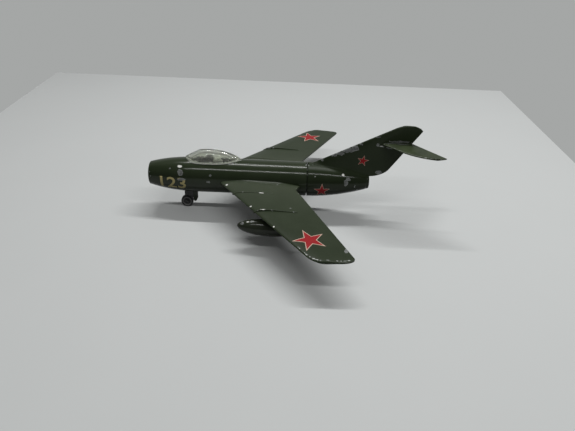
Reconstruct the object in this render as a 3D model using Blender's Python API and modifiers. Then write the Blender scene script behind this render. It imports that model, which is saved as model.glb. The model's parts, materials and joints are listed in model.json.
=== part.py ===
"""Die-cast toy jet airplane that rolls on three wheels, as separate pieces.

Stations run aft from the nose lip along +X, heights up from the ground along +Z, and -Y is the left side.
The origin lies on the ground under the middle of the length.
"""

import math

import bmesh
import bpy
from mathutils import Matrix, Vector

MM = 0.001

# Fits
FIT_GAP = 0.05 * MM
SEAT_GAP = 0.10 * MM
SINK = 0.40 * MM

# Fuselage
AXIS_HEIGHT = 14.0 * MM
FUSELAGE_RADIUS = 6.6 * MM
NOSE_RADIUS = 4.3 * MM
NOSE_TAPER_LENGTH = 20.0 * MM
NOSE_TAPER_POWER = 2.5
SEAM_STATION = 59.0 * MM
SEAM_RADIUS = 6.45 * MM
SEAM_GAP = 0.35 * MM
SEAM_NOTCH_RADIUS = 0.55 * MM
SEAM_NOTCH_DEPTH = 0.9 * MM
INTAKE_LIP = 0.76 * MM
INTAKE_DEPTH = 10.0 * MM
INTAKE_END_RADIUS = 3.1 * MM
SPLITTER_THICKNESS = 0.8 * MM
SPLITTER_SETBACK = 1.4 * MM
NOZZLE_STATION = 82.6 * MM
NOZZLE_RADIUS = 2.6 * MM
NOZZLE_WALL = 0.5 * MM
NOZZLE_DEPTH = 8.0 * MM
NOZZLE_RIM = 1.0 * MM
NOZZLE_GROOVE = 0.12 * MM
NOZZLE_GROOVE_HALF_WIDTH = 0.24 * MM
TAIL_TAPER_POWER = 1.95
SPIGOT_RADIUS = 4.6 * MM
SPIGOT_LENGTH = 6.5 * MM

# Wing
WING_HALF_SPAN = 51.1 * MM
WING_LEADING = 22.2 * MM
WING_LEADING_SWEEP = math.radians(37.1)
WING_TRAILING = 50.0 * MM
WING_TRAILING_SWEEP = math.radians(25.3)
WING_SEAM_MARGIN = 3.0 * MM
WING_RISE = 0.55 * MM
WING_ANHEDRAL = math.radians(2.1)
WING_ROOT_THICKNESS = 2.4 * MM
WING_TIP_THICKNESS = 1.2 * MM
WING_FILLET = 2.2 * MM
WING_TIP_FRONT_SPAN = 2.8 * MM
WING_TIP_FRONT_SHARE = 0.195
WING_TIP_REAR_SPAN = 3.3 * MM
WING_TIP_REAR_SHARE = 0.556
INNER_FENCE_OUT = 14.2 * MM
OUTER_FENCE_OUT = 26.5 * MM
FENCE_LENGTH = 15.0 * MM
INNER_FENCE_HEIGHT = 0.25 * MM
OUTER_FENCE_HEIGHT = 0.6 * MM
FENCE_TAPER = 0.7
FENCE_THICKNESS = 0.5 * MM
FENCE_NOSE = 0.35 * MM
FENCE_CREST_SHARES = (0.08, 0.2, 0.4, 0.65, 0.9)
BLADE_CREST = 0.3
BLADE_EDGE = 0.4

# Fin and tailplane
FIN_HEIGHT = 36.8 * MM
FIN_SEAM_MARGIN = 1.4 * MM
FIN_LEADING_SWEEP = math.radians(62.8)
FIN_TOP_CHORD = 8.8 * MM
FIN_TRAILING_SWEEP = math.radians(33.5)
FIN_ROOT_THICKNESS = 2.0 * MM
FIN_TIP_THICKNESS = 1.2 * MM
FIN_FILLET = 1.6 * MM
FIN_TIP_FRONT_SPAN = 1.2 * MM
FIN_TIP_FRONT_SHARE = 0.16
FIN_TIP_REAR_SPAN = 1.8 * MM
FIN_TIP_REAR_SHARE = 0.625
FIN_SWEEP_UP = 3.1 * MM
FIN_SWEEP_UP_SETBACK = 5.2 * MM
TAILPLANE_DROP = 7.0 * MM
TAILPLANE_SKEW = math.radians(7.5)
TAILPLANE_HALF_SPAN = 14.0 * MM
TAILPLANE_ROOT_CHORD = 10.85 * MM
TAILPLANE_LEADING_SWEEP = math.radians(35.8)
TAILPLANE_INSET = 0.14 * MM
TAILPLANE_TRAILING_SWEEP = math.radians(32.9)
TAILPLANE_ROOT_THICKNESS = 1.2 * MM
TAILPLANE_TIP_THICKNESS = 0.8 * MM
TAILPLANE_TIP_FRONT_SPAN = 7.0 * MM
TAILPLANE_TIP_FRONT_SHARE = 0.71
TAILPLANE_TIP_REAR_SPAN = 0.5 * MM
TAILPLANE_TIP_REAR_SHARE = 0.16

# Canopy and cockpit
CANOPY_FRONT = 13.7 * MM
CANOPY_PEAK = 22.5 * MM
CANOPY_REAR = 34.6 * MM
CANOPY_RISE = 3.85 * MM
CANOPY_HALF_WIDTH = 3.2 * MM
CANOPY_WALL = 0.8 * MM
CANOPY_END_WALL = 1.6 * MM
CANOPY_END_TRIM = 0.1 * MM
CANOPY_FRONT_SIDE_POWER = 5.0
CANOPY_REAR_SIDE_POWER = 2.8
CANOPY_FRONT_TOP_POWER = 2.2
CANOPY_REAR_TOP_POWER = 1.7
COCKPIT_FRONT = 17.0 * MM
COCKPIT_REAR = 30.5 * MM
COCKPIT_HALF_WIDTH = 2.1 * MM
COCKPIT_FLOOR = 2.0 * MM
TUB_FLOOR = 0.8 * MM
TUB_WALL = 1.2 * MM
SEAT_STATION = 23.0 * MM
SEAT_LENGTH = 2.6 * MM
SEAT_PAN = 1.6 * MM
SEAT_BACK = 1.2 * MM
SEAT_TOP = 7.6 * MM
SEAT_HALF_WIDTH = 1.3 * MM
EDGE_ROUND = 0.15 * MM

# Belly plate and its rivets
BELLY_FRONT = 20.6 * MM
BELLY_SOCKET_MARGIN = 5.5 * MM
BELLY_HALF_WIDTH = 3.4 * MM
BELLY_THICKNESS = 1.25 * MM
BELLY_PAD_FLAT = 0.35 * MM
LEDGE = 0.7 * MM
HOLLOW_TOP = 1.0 * MM
POST_RADIUS = 1.7 * MM
RIVET_INSET = 4.0 * MM
RIVET_RADIUS = 0.8 * MM
RIVET_GRIP = 3.0 * MM
RIVET_HEAD_RADIUS = 1.5 * MM
RIVET_HEAD = 0.5 * MM
TAIL_RIVET_GRIP = 4.0 * MM

# Wheels and gear
NOSE_WHEEL_STATION = 13.15 * MM
NOSE_WHEEL_RADIUS = 2.35 * MM
NOSE_WHEEL_WIDTH = 1.6 * MM
MAIN_WHEEL_OUT = 13.8 * MM
MAIN_WHEEL_RADIUS = 3.2 * MM
MAIN_WHEEL_WIDTH = 2.2 * MM
TYRE_DEPTH = 0.5 * MM
HUB_DISH = 0.3 * MM
HUB_BOSS_RADIUS = 0.85 * MM
AXLE_RADIUS = 0.5 * MM
AXLE_HEAD_RADIUS = 0.75 * MM
AXLE_HEAD = 0.35 * MM
ARM_THICKNESS = 1.3 * MM
ARM_BOSS_RADIUS = 1.15 * MM
NOSE_LEG_LAG = 1.15 * MM
NOSE_STRUT_RADIUS = 0.8 * MM
NOSE_LEG_GRIP = 4.0 * MM
NOSE_BRIDGE = 0.95 * MM
NOSE_BRIDGE_HALF_WIDTH = 0.85 * MM
NOSE_BRIDGE_GAP = 0.4 * MM
MAIN_LEG_INSET = 5.5 * MM
MAIN_LEG_LEAD = 1.9 * MM
MAIN_LEG_RADIUS = 0.75 * MM
MAIN_LEG_COLLAR_RADIUS = 1.2 * MM
MAIN_LEG_COLLAR = 0.9 * MM
PEG_RADIUS = 0.55 * MM
PEG_GRIP = 0.65 * MM
DOOR_LAG = 3.65 * MM
DOOR_OUT = 1.3 * MM
DOOR_WIDTH = 1.8 * MM
DOOR_DROP = 4.6 * MM
DOOR_THICKNESS = 0.7 * MM
DOOR_GRIP = 1.3 * MM

# Drop tanks
TANK_LEAD = 6.35 * MM
TANK_LENGTH = 25.0 * MM
TANK_RADIUS = 2.45 * MM
TANK_CREST = 0.4
TANK_TAIL_POWER = 2.2
TANK_OUT = 26.0 * MM
TANK_DROP = 5.9 * MM
PYLON_LEAD = 8.0 * MM
PYLON_LENGTH = 10.0 * MM
PYLON_THICKNESS = 1.1 * MM

# Facets
ROUND_STEPS = 32
WHEEL_STEPS = 24
PIN_STEPS = 16
CHORD_STEPS = 6
NOSE_RINGS = 8
NOSE_RING_POWER = 1.4
MIDDLE_RINGS = 4
TAIL_RINGS = 10
ROOT_RINGS = 6
TIP_RINGS = 6
CANOPY_RINGS = 8
CANOPY_ARC_POINTS = 11
TANK_RINGS = 7
LIP_POINTS = 7
SLOT_END_POINTS = 8
BOSS_POINTS = 9
SHOULDER_POINTS = 4
SMOOTH_ANGLE = math.radians(35)
BEVEL_ANGLE = math.radians(40)

# Finishes: colour, roughness, metallic
GREEN_ENAMEL = ((0.040, 0.053, 0.031, 1.0), 0.38, 0.0)
CLEAR_PLASTIC = ((0.80, 0.83, 0.80, 0.35), 0.08, 0.0)
DARK_PLASTIC = ((0.020, 0.021, 0.020, 1.0), 0.50, 0.0)
PALE_PLASTIC = ((0.45, 0.46, 0.42, 1.0), 0.45, 0.0)
BARE_ZINC = ((0.32, 0.32, 0.31, 1.0), 0.40, 1.0)
BLACK_RUBBER = ((0.012, 0.012, 0.012, 1.0), 0.70, 0.0)


def clear_scene():
    """Removes every object, so that the script starts from nothing."""
    for item in list(bpy.data.objects):
        bpy.data.objects.remove(item, do_unlink=True)


def new_collection(name):
    """Makes a collection in the scene."""
    group = bpy.data.collections.new(name)
    bpy.context.scene.collection.children.link(group)
    return group


def finish_material(name, finish):
    """Makes a Principled material from a colour, a roughness and a metallic value."""
    colour, roughness, metallic = finish
    material = bpy.data.materials.new(name)
    material.use_nodes = True
    shader = material.node_tree.nodes["Principled BSDF"]
    shader.inputs["Base Color"].default_value = colour
    shader.inputs["Alpha"].default_value = colour[3]
    shader.inputs["Roughness"].default_value = roughness
    shader.inputs["Metallic"].default_value = metallic
    return material


def add_object(name, mesh, group):
    """Puts a mesh into a collection as a named object."""
    item = bpy.data.objects.new(name, mesh)
    group.objects.link(item)
    if group.name == "cutters":
        item.hide_render = True
        item.display_type = "WIRE"
    return item


def dress(item, finish):
    """Gives a piece its own material and smooth round faces."""
    item.data.materials.append(finish_material(item.name, finish))
    item.data.shade_smooth()
    item.data.set_sharp_from_angle(angle=SMOOTH_ANGLE)
    return item


def mesh_from(bm, name):
    """Turns a bmesh into a mesh with its faces pointing out."""
    bmesh.ops.recalc_face_normals(bm, faces=bm.faces)
    mesh = bpy.data.meshes.new(name)
    bm.to_mesh(mesh)
    bm.free()
    return mesh


def combine(item, tool, operation):
    """Adds a Boolean of a tool object to a piece."""
    modifier = item.modifiers.new(tool.name, "BOOLEAN")
    modifier.operation = operation
    modifier.object = tool
    modifier.solver = "EXACT"


def x_at(station):
    """World X of a station: the middle of the length is at 0."""
    return station - tail_end() / 2


def turned(name, group, profile, origin, axis="X", steps=ROUND_STEPS, ring=False):
    """Turns a profile of (radius, place along the axis) points, listed down its outside, about an axis."""
    mesh = bpy.data.meshes.new(name)
    edges = [(k, k + 1) for k in range(len(profile) - 1)]
    if ring:
        edges.append((len(profile) - 1, 0))
    mesh.from_pydata([(radius, 0.0, along) for radius, along in profile], edges, [])
    item = add_object(name, mesh, group)
    item.location = origin
    turns = {"X": (0.0, math.pi / 2, 0.0), "Y": (-math.pi / 2, 0.0, 0.0), "Z": (0.0, 0.0, 0.0)}
    item.rotation_euler = turns[axis]
    screw = item.modifiers.new("turn", "SCREW")
    screw.axis = "Z"
    screw.steps = steps
    screw.render_steps = steps
    screw.use_merge_vertices = True
    screw.merge_threshold = 0.000001
    return item


def rod(name, group, radius, start, end, steps=PIN_STEPS):
    """Makes a round rod between two points."""
    start = Vector(start)
    end = Vector(end)
    span = end - start
    bm = bmesh.new()
    bmesh.ops.create_cone(
        bm, cap_ends=True, segments=steps, radius1=radius, radius2=radius, depth=span.length
    )
    item = add_object(name, mesh_from(bm, name), group)
    item.rotation_euler = span.to_track_quat("Z", "Y").to_euler()
    item.location = (start + end) / 2
    return item


def block(name, group, low, high):
    """Makes a box between two corners."""
    low = Vector(low)
    high = Vector(high)
    bm = bmesh.new()
    bmesh.ops.create_cube(bm, size=1.0, matrix=Matrix.Diagonal((*(high - low), 1.0)))
    item = add_object(name, mesh_from(bm, name), group)
    item.location = (low + high) / 2
    return item


def plate(name, group, outline, thickness, origin, upright=True):
    """Extrudes a flat outline. Upright, the outline is drawn in X and Z and the thickness lies along Y."""
    curve = bpy.data.curves.new(name + "_outline", "CURVE")
    curve.dimensions = "2D"
    curve.fill_mode = "BOTH"
    curve.extrude = thickness / 2
    spline = curve.splines.new("POLY")
    spline.points.add(len(outline) - 1)
    for point, (across, up) in zip(spline.points, outline):
        point.co = (across, up, 0.0, 1.0)
    spline.use_cyclic_u = True
    sketch = add_object(name + "_outline", curve, group)
    bpy.context.view_layer.update()
    solid = sketch.evaluated_get(bpy.context.evaluated_depsgraph_get())
    bm = bmesh.new()
    bm.from_mesh(bpy.data.meshes.new_from_object(solid))
    bmesh.ops.remove_doubles(bm, verts=bm.verts, dist=FIT_GAP / 10)
    bpy.data.objects.remove(sketch, do_unlink=True)
    item = add_object(name, mesh_from(bm, name), group)
    item.location = origin
    if upright:
        item.rotation_euler = (math.pi / 2, 0.0, 0.0)
    return item


def loft(name, group, rings):
    """Skins a row of closed rings with the same number of points, and caps both ends."""
    bm = bmesh.new()
    rows = [[bm.verts.new(point) for point in ring] for ring in rings]
    for row, after in zip(rows, rows[1:]):
        for k in range(len(row)):
            following = (k + 1) % len(row)
            bm.faces.new((row[k], row[following], after[following], after[k]))
    bm.faces.new(rows[0])
    bm.faces.new(rows[-1])
    return add_object(name, mesh_from(bm, name), group)


def soften(item, width, segments=2):
    """Rounds a piece's sharp edges."""
    bevel = item.modifiers.new("soften", "BEVEL")
    bevel.width = width
    bevel.segments = segments
    bevel.limit_method = "ANGLE"
    bevel.angle_limit = BEVEL_ANGLE
    return item


def rounding(share):
    """Setback of a quarter ellipse, from 0 at its start to 1 at its end."""
    return 1.0 - math.sqrt(max(0.0, 1.0 - min(max(share, 0.0), 1.0) ** 2))


def spread(start, end, count):
    """Evenly spaced values, both ends included."""
    return [start + (end - start) * k / (count - 1) for k in range(count)]


def rounded_end(start, end, count):
    """Values that crowd towards the end of a rounded tip."""
    return [start + (end - start) * math.sin(math.pi / 2 * k / count) for k in range(1, count + 1)]


def fuselage_radius(station):
    """Radius of the body at a station."""
    if station < NOSE_TAPER_LENGTH:
        share = 1.0 - station / NOSE_TAPER_LENGTH
        return FUSELAGE_RADIUS - (FUSELAGE_RADIUS - NOSE_RADIUS) * share**NOSE_TAPER_POWER
    if station <= SEAM_STATION:
        share = (station - NOSE_TAPER_LENGTH) / (SEAM_STATION - NOSE_TAPER_LENGTH)
        return FUSELAGE_RADIUS + (SEAM_RADIUS - FUSELAGE_RADIUS) * share
    share = min(1.0, (station - SEAM_STATION) / (NOZZLE_STATION - SEAM_STATION))
    return SEAM_RADIUS - (SEAM_RADIUS - NOZZLE_RADIUS) * share**TAIL_TAPER_POWER


def fillet_rise(distance, offset, body_radius, radius):
    """Height that a fillet adds to a surface, at a distance from the body's axis.

    The surface lies at an offset from the axis, and the fillet is an arc that touches it and the round body.
    """
    reach = body_radius + radius
    centre = math.sqrt(max(0.0, reach**2 - (offset + radius) ** 2))
    touch = centre * body_radius / reach
    lateral = centre - max(distance, touch)
    if lateral <= 0.0:
        return 0.0
    return radius - math.sqrt(max(0.0, radius**2 - lateral**2))


def blade_form(share):
    """Share of the half thickness that a blade has at a share of its chord."""
    if share < BLADE_CREST:
        return math.sqrt(1.0 - (1.0 - share / BLADE_CREST) ** 2)
    return 1.0 - (1.0 - BLADE_EDGE) * (share - BLADE_CREST) / (1.0 - BLADE_CREST)


def blade_ring(leading, trailing, surface, ahead=0.0, behind=0.0):
    """Points (station, offset) round a blade section: over the top to the trailing edge and back below.

    Ahead and behind lengthen a clearance tool past the blade's two edges.
    """
    shares = [0.5 - 0.5 * math.cos(math.pi * k / CHORD_STEPS) for k in range(CHORD_STEPS + 1)]
    stations = [leading + (trailing - leading) * share for share in shares]
    stations[0] -= ahead
    stations[-1] += behind
    upper = [(station, surface(share, station, 1.0)) for share, station in zip(shares, stations)]
    lower = [(station, surface(share, station, -1.0)) for share, station in zip(shares, stations)]
    return upper + lower[:0:-1]


def wing_kink():
    """Station of the unswept inner stretch of the wing's trailing edge, just ahead of the seam."""
    return SEAM_STATION - WING_SEAM_MARGIN


def wing_front_line(out):
    """Station of the wing's straight leading edge, without the rounding at its tip."""
    return WING_LEADING + out * math.tan(WING_LEADING_SWEEP)


def wing_rear_line(out):
    """Station of the wing's straight trailing edge, without the rounding at its tip."""
    return WING_TRAILING + out * math.tan(WING_TRAILING_SWEEP)


def wing_tip_chord():
    """Chord between the two straight edges at the tip, which the rounding takes its shares of."""
    return wing_rear_line(WING_HALF_SPAN) - wing_front_line(WING_HALF_SPAN)


def wing_leading(out):
    """Station of the wing's leading edge at a distance out from the middle."""
    corner = (out - WING_HALF_SPAN + WING_TIP_FRONT_SPAN) / WING_TIP_FRONT_SPAN
    return wing_front_line(out) + WING_TIP_FRONT_SHARE * wing_tip_chord() * rounding(corner)


def wing_trailing(out):
    """Station of the wing's trailing edge at a distance out from the middle."""
    corner = (out - WING_HALF_SPAN + WING_TIP_REAR_SPAN) / WING_TIP_REAR_SPAN
    edge = wing_rear_line(out) - WING_TIP_REAR_SHARE * wing_tip_chord() * rounding(corner)
    return max(edge, wing_kink())


def wing_height(out):
    """Height of the wing's middle surface at a distance out."""
    return AXIS_HEIGHT + WING_RISE - out * math.tan(WING_ANHEDRAL)


def wing_offset(share, station, side, out, extra=0.0):
    """Offset of the wing's upper (side 1) or lower (side -1) surface from its middle surface."""
    taper = WING_ROOT_THICKNESS + (WING_TIP_THICKNESS - WING_ROOT_THICKNESS) * out / WING_HALF_SPAN
    form = blade_form(share)
    half = taper / 2 * form
    level = max(0.0, half + side * (wing_height(out) - AXIS_HEIGHT))
    rise = fillet_rise(out, level, fuselage_radius(station), WING_FILLET)
    return side * (half + extra + rise * min(1.0, form / BLADE_EDGE))


def wing_surface(station, out, side):
    """Height of the wing's upper or lower surface at a point."""
    share = (station - wing_leading(out)) / (wing_trailing(out) - wing_leading(out))
    return wing_height(out) + wing_offset(share, station, side, out)


def wing_blade(name, group, extra=0.0):
    """Lofts both wings through the body, with the root fillets. Extra thickness makes a clearance tool."""
    root = SEAM_RADIUS + WING_FILLET
    tip = WING_HALF_SPAN - max(WING_TIP_FRONT_SPAN, WING_TIP_REAR_SPAN)
    kink = max(root + WING_FILLET, (wing_kink() - WING_TRAILING) / math.tan(WING_TRAILING_SWEEP))
    outs = spread(SEAM_RADIUS - WING_FILLET / 2, root, ROOT_RINGS) + spread(kink, tip, MIDDLE_RINGS)
    outs += rounded_end(tip, WING_HALF_SPAN, TIP_RINGS)
    rings = []
    for side in (-1.0, 1.0):
        half = []
        for out in outs:
            section = blade_ring(
                wing_leading(out),
                wing_trailing(out),
                lambda share, station, face: wing_offset(share, station, face, out, extra),
                extra,
                extra,
            )
            half.append([(x_at(s), side * out, wing_height(out) + z) for s, z in section])
        rings += half[::-1] if side < 0 else half
    return loft(name, group, rings)


def fence_outline(out, height):
    """Side outline of a fence: a low wall from the leading edge back, lower towards its end."""
    front = wing_leading(out)
    rear = front + FENCE_LENGTH
    middle = wing_height(out)
    top = []
    for share in FENCE_CREST_SHARES:
        station = front + FENCE_LENGTH * share
        crest = wing_surface(station, out, 1.0) + height * (1.0 - FENCE_TAPER * share)
        top.append((x_at(station), crest))
    return [(x_at(front - FENCE_NOSE), middle), *top, (x_at(rear), middle)]


def front_outside(first):
    """Points down the outside of the front body, from the seam to a first station at the nose."""
    stations = spread(SEAM_STATION, NOSE_TAPER_LENGTH, MIDDLE_RINGS)
    for step in spread(1.0, 0.0, NOSE_RINGS)[1:]:
        stations.append(first + (NOSE_TAPER_LENGTH - first) * step**NOSE_RING_POWER)
    return [(0.0, SEAM_STATION)] + [(fuselage_radius(station), station) for station in stations]


def forward_profile():
    """Outside from the seam to the nose lip, and the blind intake."""
    lip = INTAKE_LIP / 2
    points = front_outside(lip)
    centre = fuselage_radius(lip) - lip
    for turn in spread(0.0, math.pi, LIP_POINTS)[1:]:
        points.append((centre + lip * math.cos(turn), lip - lip * math.sin(turn)))
    return points + [(INTAKE_END_RADIUS, INTAKE_DEPTH), (0.0, INTAKE_DEPTH)]


def tail_profile():
    """Exhaust bore, outside from the rim to the seam, and the spigot."""
    shoulder = SEAM_STATION + SEAM_GAP
    groove = NOZZLE_STATION - NOZZLE_RIM
    bore = NOZZLE_RADIUS - NOZZLE_WALL
    points = [(0.0, NOZZLE_STATION - NOZZLE_DEPTH), (bore, NOZZLE_STATION - NOZZLE_DEPTH)]
    points += [(bore, NOZZLE_STATION), (NOZZLE_RADIUS, NOZZLE_STATION)]
    for place, depth in ((-1.0, 0.0), (0.0, 1.0), (1.0, 0.0)):
        station = groove - place * NOZZLE_GROOVE_HALF_WIDTH
        points.append((fuselage_radius(station) - depth * NOZZLE_GROOVE, station))
    points += [(fuselage_radius(s), s) for s in spread(groove, shoulder, TAIL_RINGS)[1:]]
    end = SEAM_STATION - SPIGOT_LENGTH
    return points + [(SPIGOT_RADIUS, shoulder), (SPIGOT_RADIUS, end), (0.0, end)]


def socket_profile():
    """Bore in the front casting that takes the tail's spigot."""
    bore = SPIGOT_RADIUS + FIT_GAP
    mouth = SEAM_STATION + SINK
    end = SEAM_STATION - SPIGOT_LENGTH - FIT_GAP
    return [(0.0, mouth), (bore, mouth), (bore, end), (0.0, end)]


def body_profile():
    """Whole outside of the front body, as a plain solid that trims what lies flush with it."""
    return front_outside(INTAKE_LIP / 2) + [(0.0, INTAKE_LIP / 2)]


def grown(profile, gap):
    """The same profile, a gap larger all round."""
    return [(radius + gap if radius > 0.0 else 0.0, along) for radius, along in profile]


def slot_outline(front, rear, half_width):
    """Plan outline of a slot with round ends."""
    outline = []
    for centre, start in ((rear - half_width, -math.pi / 2), (front + half_width, math.pi / 2)):
        for turn in spread(start, start + math.pi, SLOT_END_POINTS):
            outline.append((x_at(centre) + half_width * math.cos(turn), half_width * math.sin(turn)))
    return outline


def upright_slot(name, group, front, rear, half_width, low, high):
    """A slot-shaped solid between two heights."""
    outline = slot_outline(front, rear, half_width)
    return plate(name, group, outline, high - low, (0.0, 0.0, (low + high) / 2), upright=False)


def rivet(name, group, station, head_top, grip, finish):
    """A round-headed rivet that points up from the underside."""
    profile = [(0.0, grip), (RIVET_RADIUS, grip), (RIVET_RADIUS, 0.0), (RIVET_HEAD_RADIUS, 0.0)]
    for turn in spread(0.0, math.pi / 2, SHOULDER_POINTS)[1:-1]:
        profile.append((RIVET_HEAD_RADIUS * math.cos(turn), -RIVET_HEAD * math.sin(turn)))
    profile.append((0.0, -RIVET_HEAD))
    item = turned(name, group, profile, (x_at(station), 0.0, head_top), "Z", PIN_STEPS)
    return dress(item, finish)


def build_forward_casting(parts, cutters):
    """Front fuselage, wings and fences in one casting, hollow from below."""
    origin = (x_at(0.0), 0.0, AXIS_HEIGHT)
    casting = turned("forward_casting", parts, forward_profile(), origin)
    combine(casting, wing_blade("wing_form", cutters), "UNION")
    inner = ("inner", INNER_FENCE_OUT, INNER_FENCE_HEIGHT)
    outer = ("outer", OUTER_FENCE_OUT, OUTER_FENCE_HEIGHT)
    for name, out, height in (inner, outer):
        outline = fence_outline(out, height)
        for side, label in ((-1.0, "left"), (1.0, "right")):
            place = (0.0, side * out, 0.0)
            fence = plate(f"{name}_fence_{label}", cutters, outline, FENCE_THICKNESS, place)
            combine(casting, fence, "UNION")
    half_height = fuselage_radius(SPLITTER_SETBACK) - INTAKE_LIP / 2
    splitter = block(
        "intake_splitter",
        cutters,
        (x_at(SPLITTER_SETBACK), -SPLITTER_THICKNESS / 2, AXIS_HEIGHT - half_height),
        (x_at(INTAKE_DEPTH + SINK), SPLITTER_THICKNESS / 2, AXIS_HEIGHT + half_height),
    )
    combine(casting, splitter, "UNION")
    combine(casting, turned("tail_socket", cutters, socket_profile(), origin), "DIFFERENCE")
    hollow_out(casting, cutters)
    socket_holes(casting, cutters)
    return dress(casting, GREEN_ENAMEL)


def belly_pad():
    """Height of the flat pad on the belly plate's underside."""
    return AXIS_HEIGHT - FUSELAGE_RADIUS + BELLY_PAD_FLAT


def belly_top():
    """Height of the belly plate's inner face."""
    return belly_pad() + BELLY_THICKNESS


def belly_rear():
    """Station of the belly plate's rear end, ahead of the tail's socket."""
    return SEAM_STATION - SPIGOT_LENGTH - BELLY_SOCKET_MARGIN


def hollow_out(casting, cutters):
    """Cuts the cockpit well, the opening for the belly plate, the hollow over it and the rivet posts."""
    above = AXIS_HEIGHT + FUSELAGE_RADIUS + CANOPY_RISE
    below = AXIS_HEIGHT - FUSELAGE_RADIUS - CANOPY_RISE
    seat = belly_top() + FIT_GAP
    well = upright_slot(
        "cockpit_well",
        cutters,
        COCKPIT_FRONT,
        COCKPIT_REAR,
        COCKPIT_HALF_WIDTH,
        AXIS_HEIGHT + COCKPIT_FLOOR,
        above,
    )
    combine(casting, well, "DIFFERENCE")
    mouth = upright_slot(
        "belly_mouth",
        cutters,
        BELLY_FRONT - FIT_GAP,
        belly_rear() + FIT_GAP,
        BELLY_HALF_WIDTH + FIT_GAP,
        below,
        seat,
    )
    combine(casting, mouth, "DIFFERENCE")
    hollow = upright_slot(
        "belly_hollow",
        cutters,
        BELLY_FRONT + LEDGE,
        belly_rear() - LEDGE,
        BELLY_HALF_WIDTH - LEDGE,
        seat - SINK,
        AXIS_HEIGHT + HOLLOW_TOP,
    )
    combine(casting, hollow, "DIFFERENCE")
    for name, station in rivet_stations():
        foot = (x_at(station), 0.0, seat)
        top = (x_at(station), 0.0, AXIS_HEIGHT + HOLLOW_TOP + SINK)
        combine(casting, rod(f"post_{name}", cutters, POST_RADIUS, foot, top), "UNION")
        deep = (x_at(station), 0.0, seat + RIVET_GRIP + FIT_GAP)
        shallow = (x_at(station), 0.0, seat - SINK)
        hole = rod(f"post_hole_{name}", cutters, RIVET_RADIUS + FIT_GAP, shallow, deep)
        combine(casting, hole, "DIFFERENCE")


def rivet_stations():
    """Stations of the two rivets in the belly plate."""
    return (("front", BELLY_FRONT + RIVET_INSET), ("rear", belly_rear() - RIVET_INSET))


def tail_rivet_station():
    """Station of the rivet through the middle of the spigot."""
    return SEAM_STATION - SPIGOT_LENGTH / 2


def tail_rivet_hole(cutters):
    """Hole for the tail rivet, through the socket's wall and into the spigot."""
    station = tail_rivet_station()
    bottom = AXIS_HEIGHT - fuselage_radius(station)
    low = (x_at(station), 0.0, bottom - RIVET_HEAD)
    high = (x_at(station), 0.0, bottom + TAIL_RIVET_GRIP)
    return rod("tail_rivet_hole", cutters, RIVET_RADIUS + FIT_GAP, low, high)


def seam_notch(cutters):
    """Small round notch on top of the seam, shared by both castings."""
    x = x_at(SEAM_STATION + SEAM_GAP / 2)
    low = AXIS_HEIGHT + SEAM_RADIUS - SEAM_NOTCH_DEPTH
    high = AXIS_HEIGHT + FUSELAGE_RADIUS + SEAM_NOTCH_DEPTH
    return rod("seam_notch", cutters, SEAM_NOTCH_RADIUS, (x, 0.0, low), (x, 0.0, high))


def socket_holes(casting, cutters):
    """Cuts the holes that take the gear, the tanks and the tail rivet."""
    combine(casting, tail_rivet_hole(cutters), "DIFFERENCE")
    combine(casting, seam_notch(cutters), "DIFFERENCE")
    leg_x = x_at(nose_leg_station())
    bottom = AXIS_HEIGHT - fuselage_radius(nose_leg_station())
    leg_hole = rod(
        "nose_leg_hole",
        cutters,
        NOSE_STRUT_RADIUS + FIT_GAP,
        (leg_x, 0.0, bottom - SINK),
        (leg_x, 0.0, bottom + NOSE_LEG_GRIP + FIT_GAP),
    )
    combine(casting, leg_hole, "DIFFERENCE")
    half = DOOR_WIDTH / 2 + FIT_GAP
    door_top = door_root() + DOOR_GRIP + FIT_GAP
    door_slot = block(
        "door_slot",
        cutters,
        (x_at(door_station() - half), -DOOR_OUT - DOOR_THICKNESS / 2 - FIT_GAP, door_root() - DOOR_GRIP),
        (x_at(door_station() + half), -DOOR_OUT + DOOR_THICKNESS / 2 + FIT_GAP, door_top),
    )
    combine(casting, door_slot, "DIFFERENCE")
    leg_place = ("leg", main_leg_station(), main_leg_out())
    tank_place = ("tank", peg_station(), TANK_OUT)
    for side, label in ((-1.0, "left"), (1.0, "right")):
        for name, station, out in (leg_place, tank_place):
            under = wing_surface(station, out, -1.0)
            low = (x_at(station), side * out, under - SINK)
            high = (x_at(station), side * out, under + PEG_GRIP + FIT_GAP)
            hole = rod(f"{name}_hole_{label}", cutters, PEG_RADIUS + FIT_GAP, low, high)
            combine(casting, hole, "DIFFERENCE")


def fin_line(height):
    """Station of the fin's straight leading edge at a height, without the rounding at its tip."""
    rise = height - AXIS_HEIGHT - SEAM_RADIUS
    return SEAM_STATION + FIN_SEAM_MARGIN + rise * math.tan(FIN_LEADING_SWEEP)


def fin_leading(height):
    """Station of the fin's leading edge at a height."""
    corner = (height - FIN_HEIGHT + FIN_TIP_FRONT_SPAN) / FIN_TIP_FRONT_SPAN
    edge = max(fin_line(height), SEAM_STATION + SEAM_GAP + SINK)
    return edge + FIN_TIP_FRONT_SHARE * FIN_TOP_CHORD * rounding(corner)


def fin_base():
    """Height of the fin's hidden foot, inside the wall over the exhaust."""
    return AXIS_HEIGHT + NOZZLE_RADIUS - NOZZLE_WALL / 2


def fin_trailing(height):
    """Station of the fin's trailing edge at a height, swept up from the exhaust."""
    tip = (height - FIN_HEIGHT + FIN_TIP_REAR_SPAN) / FIN_TIP_REAR_SPAN
    foot = (fin_base() + FIN_SWEEP_UP - height) / FIN_SWEEP_UP
    edge = fin_line(FIN_HEIGHT) + FIN_TOP_CHORD - (FIN_HEIGHT - height) * math.tan(FIN_TRAILING_SWEEP)
    tip_setback = FIN_TIP_REAR_SHARE * FIN_TOP_CHORD * rounding(tip)
    return edge - tip_setback - FIN_SWEEP_UP_SETBACK * rounding(foot)


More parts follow.
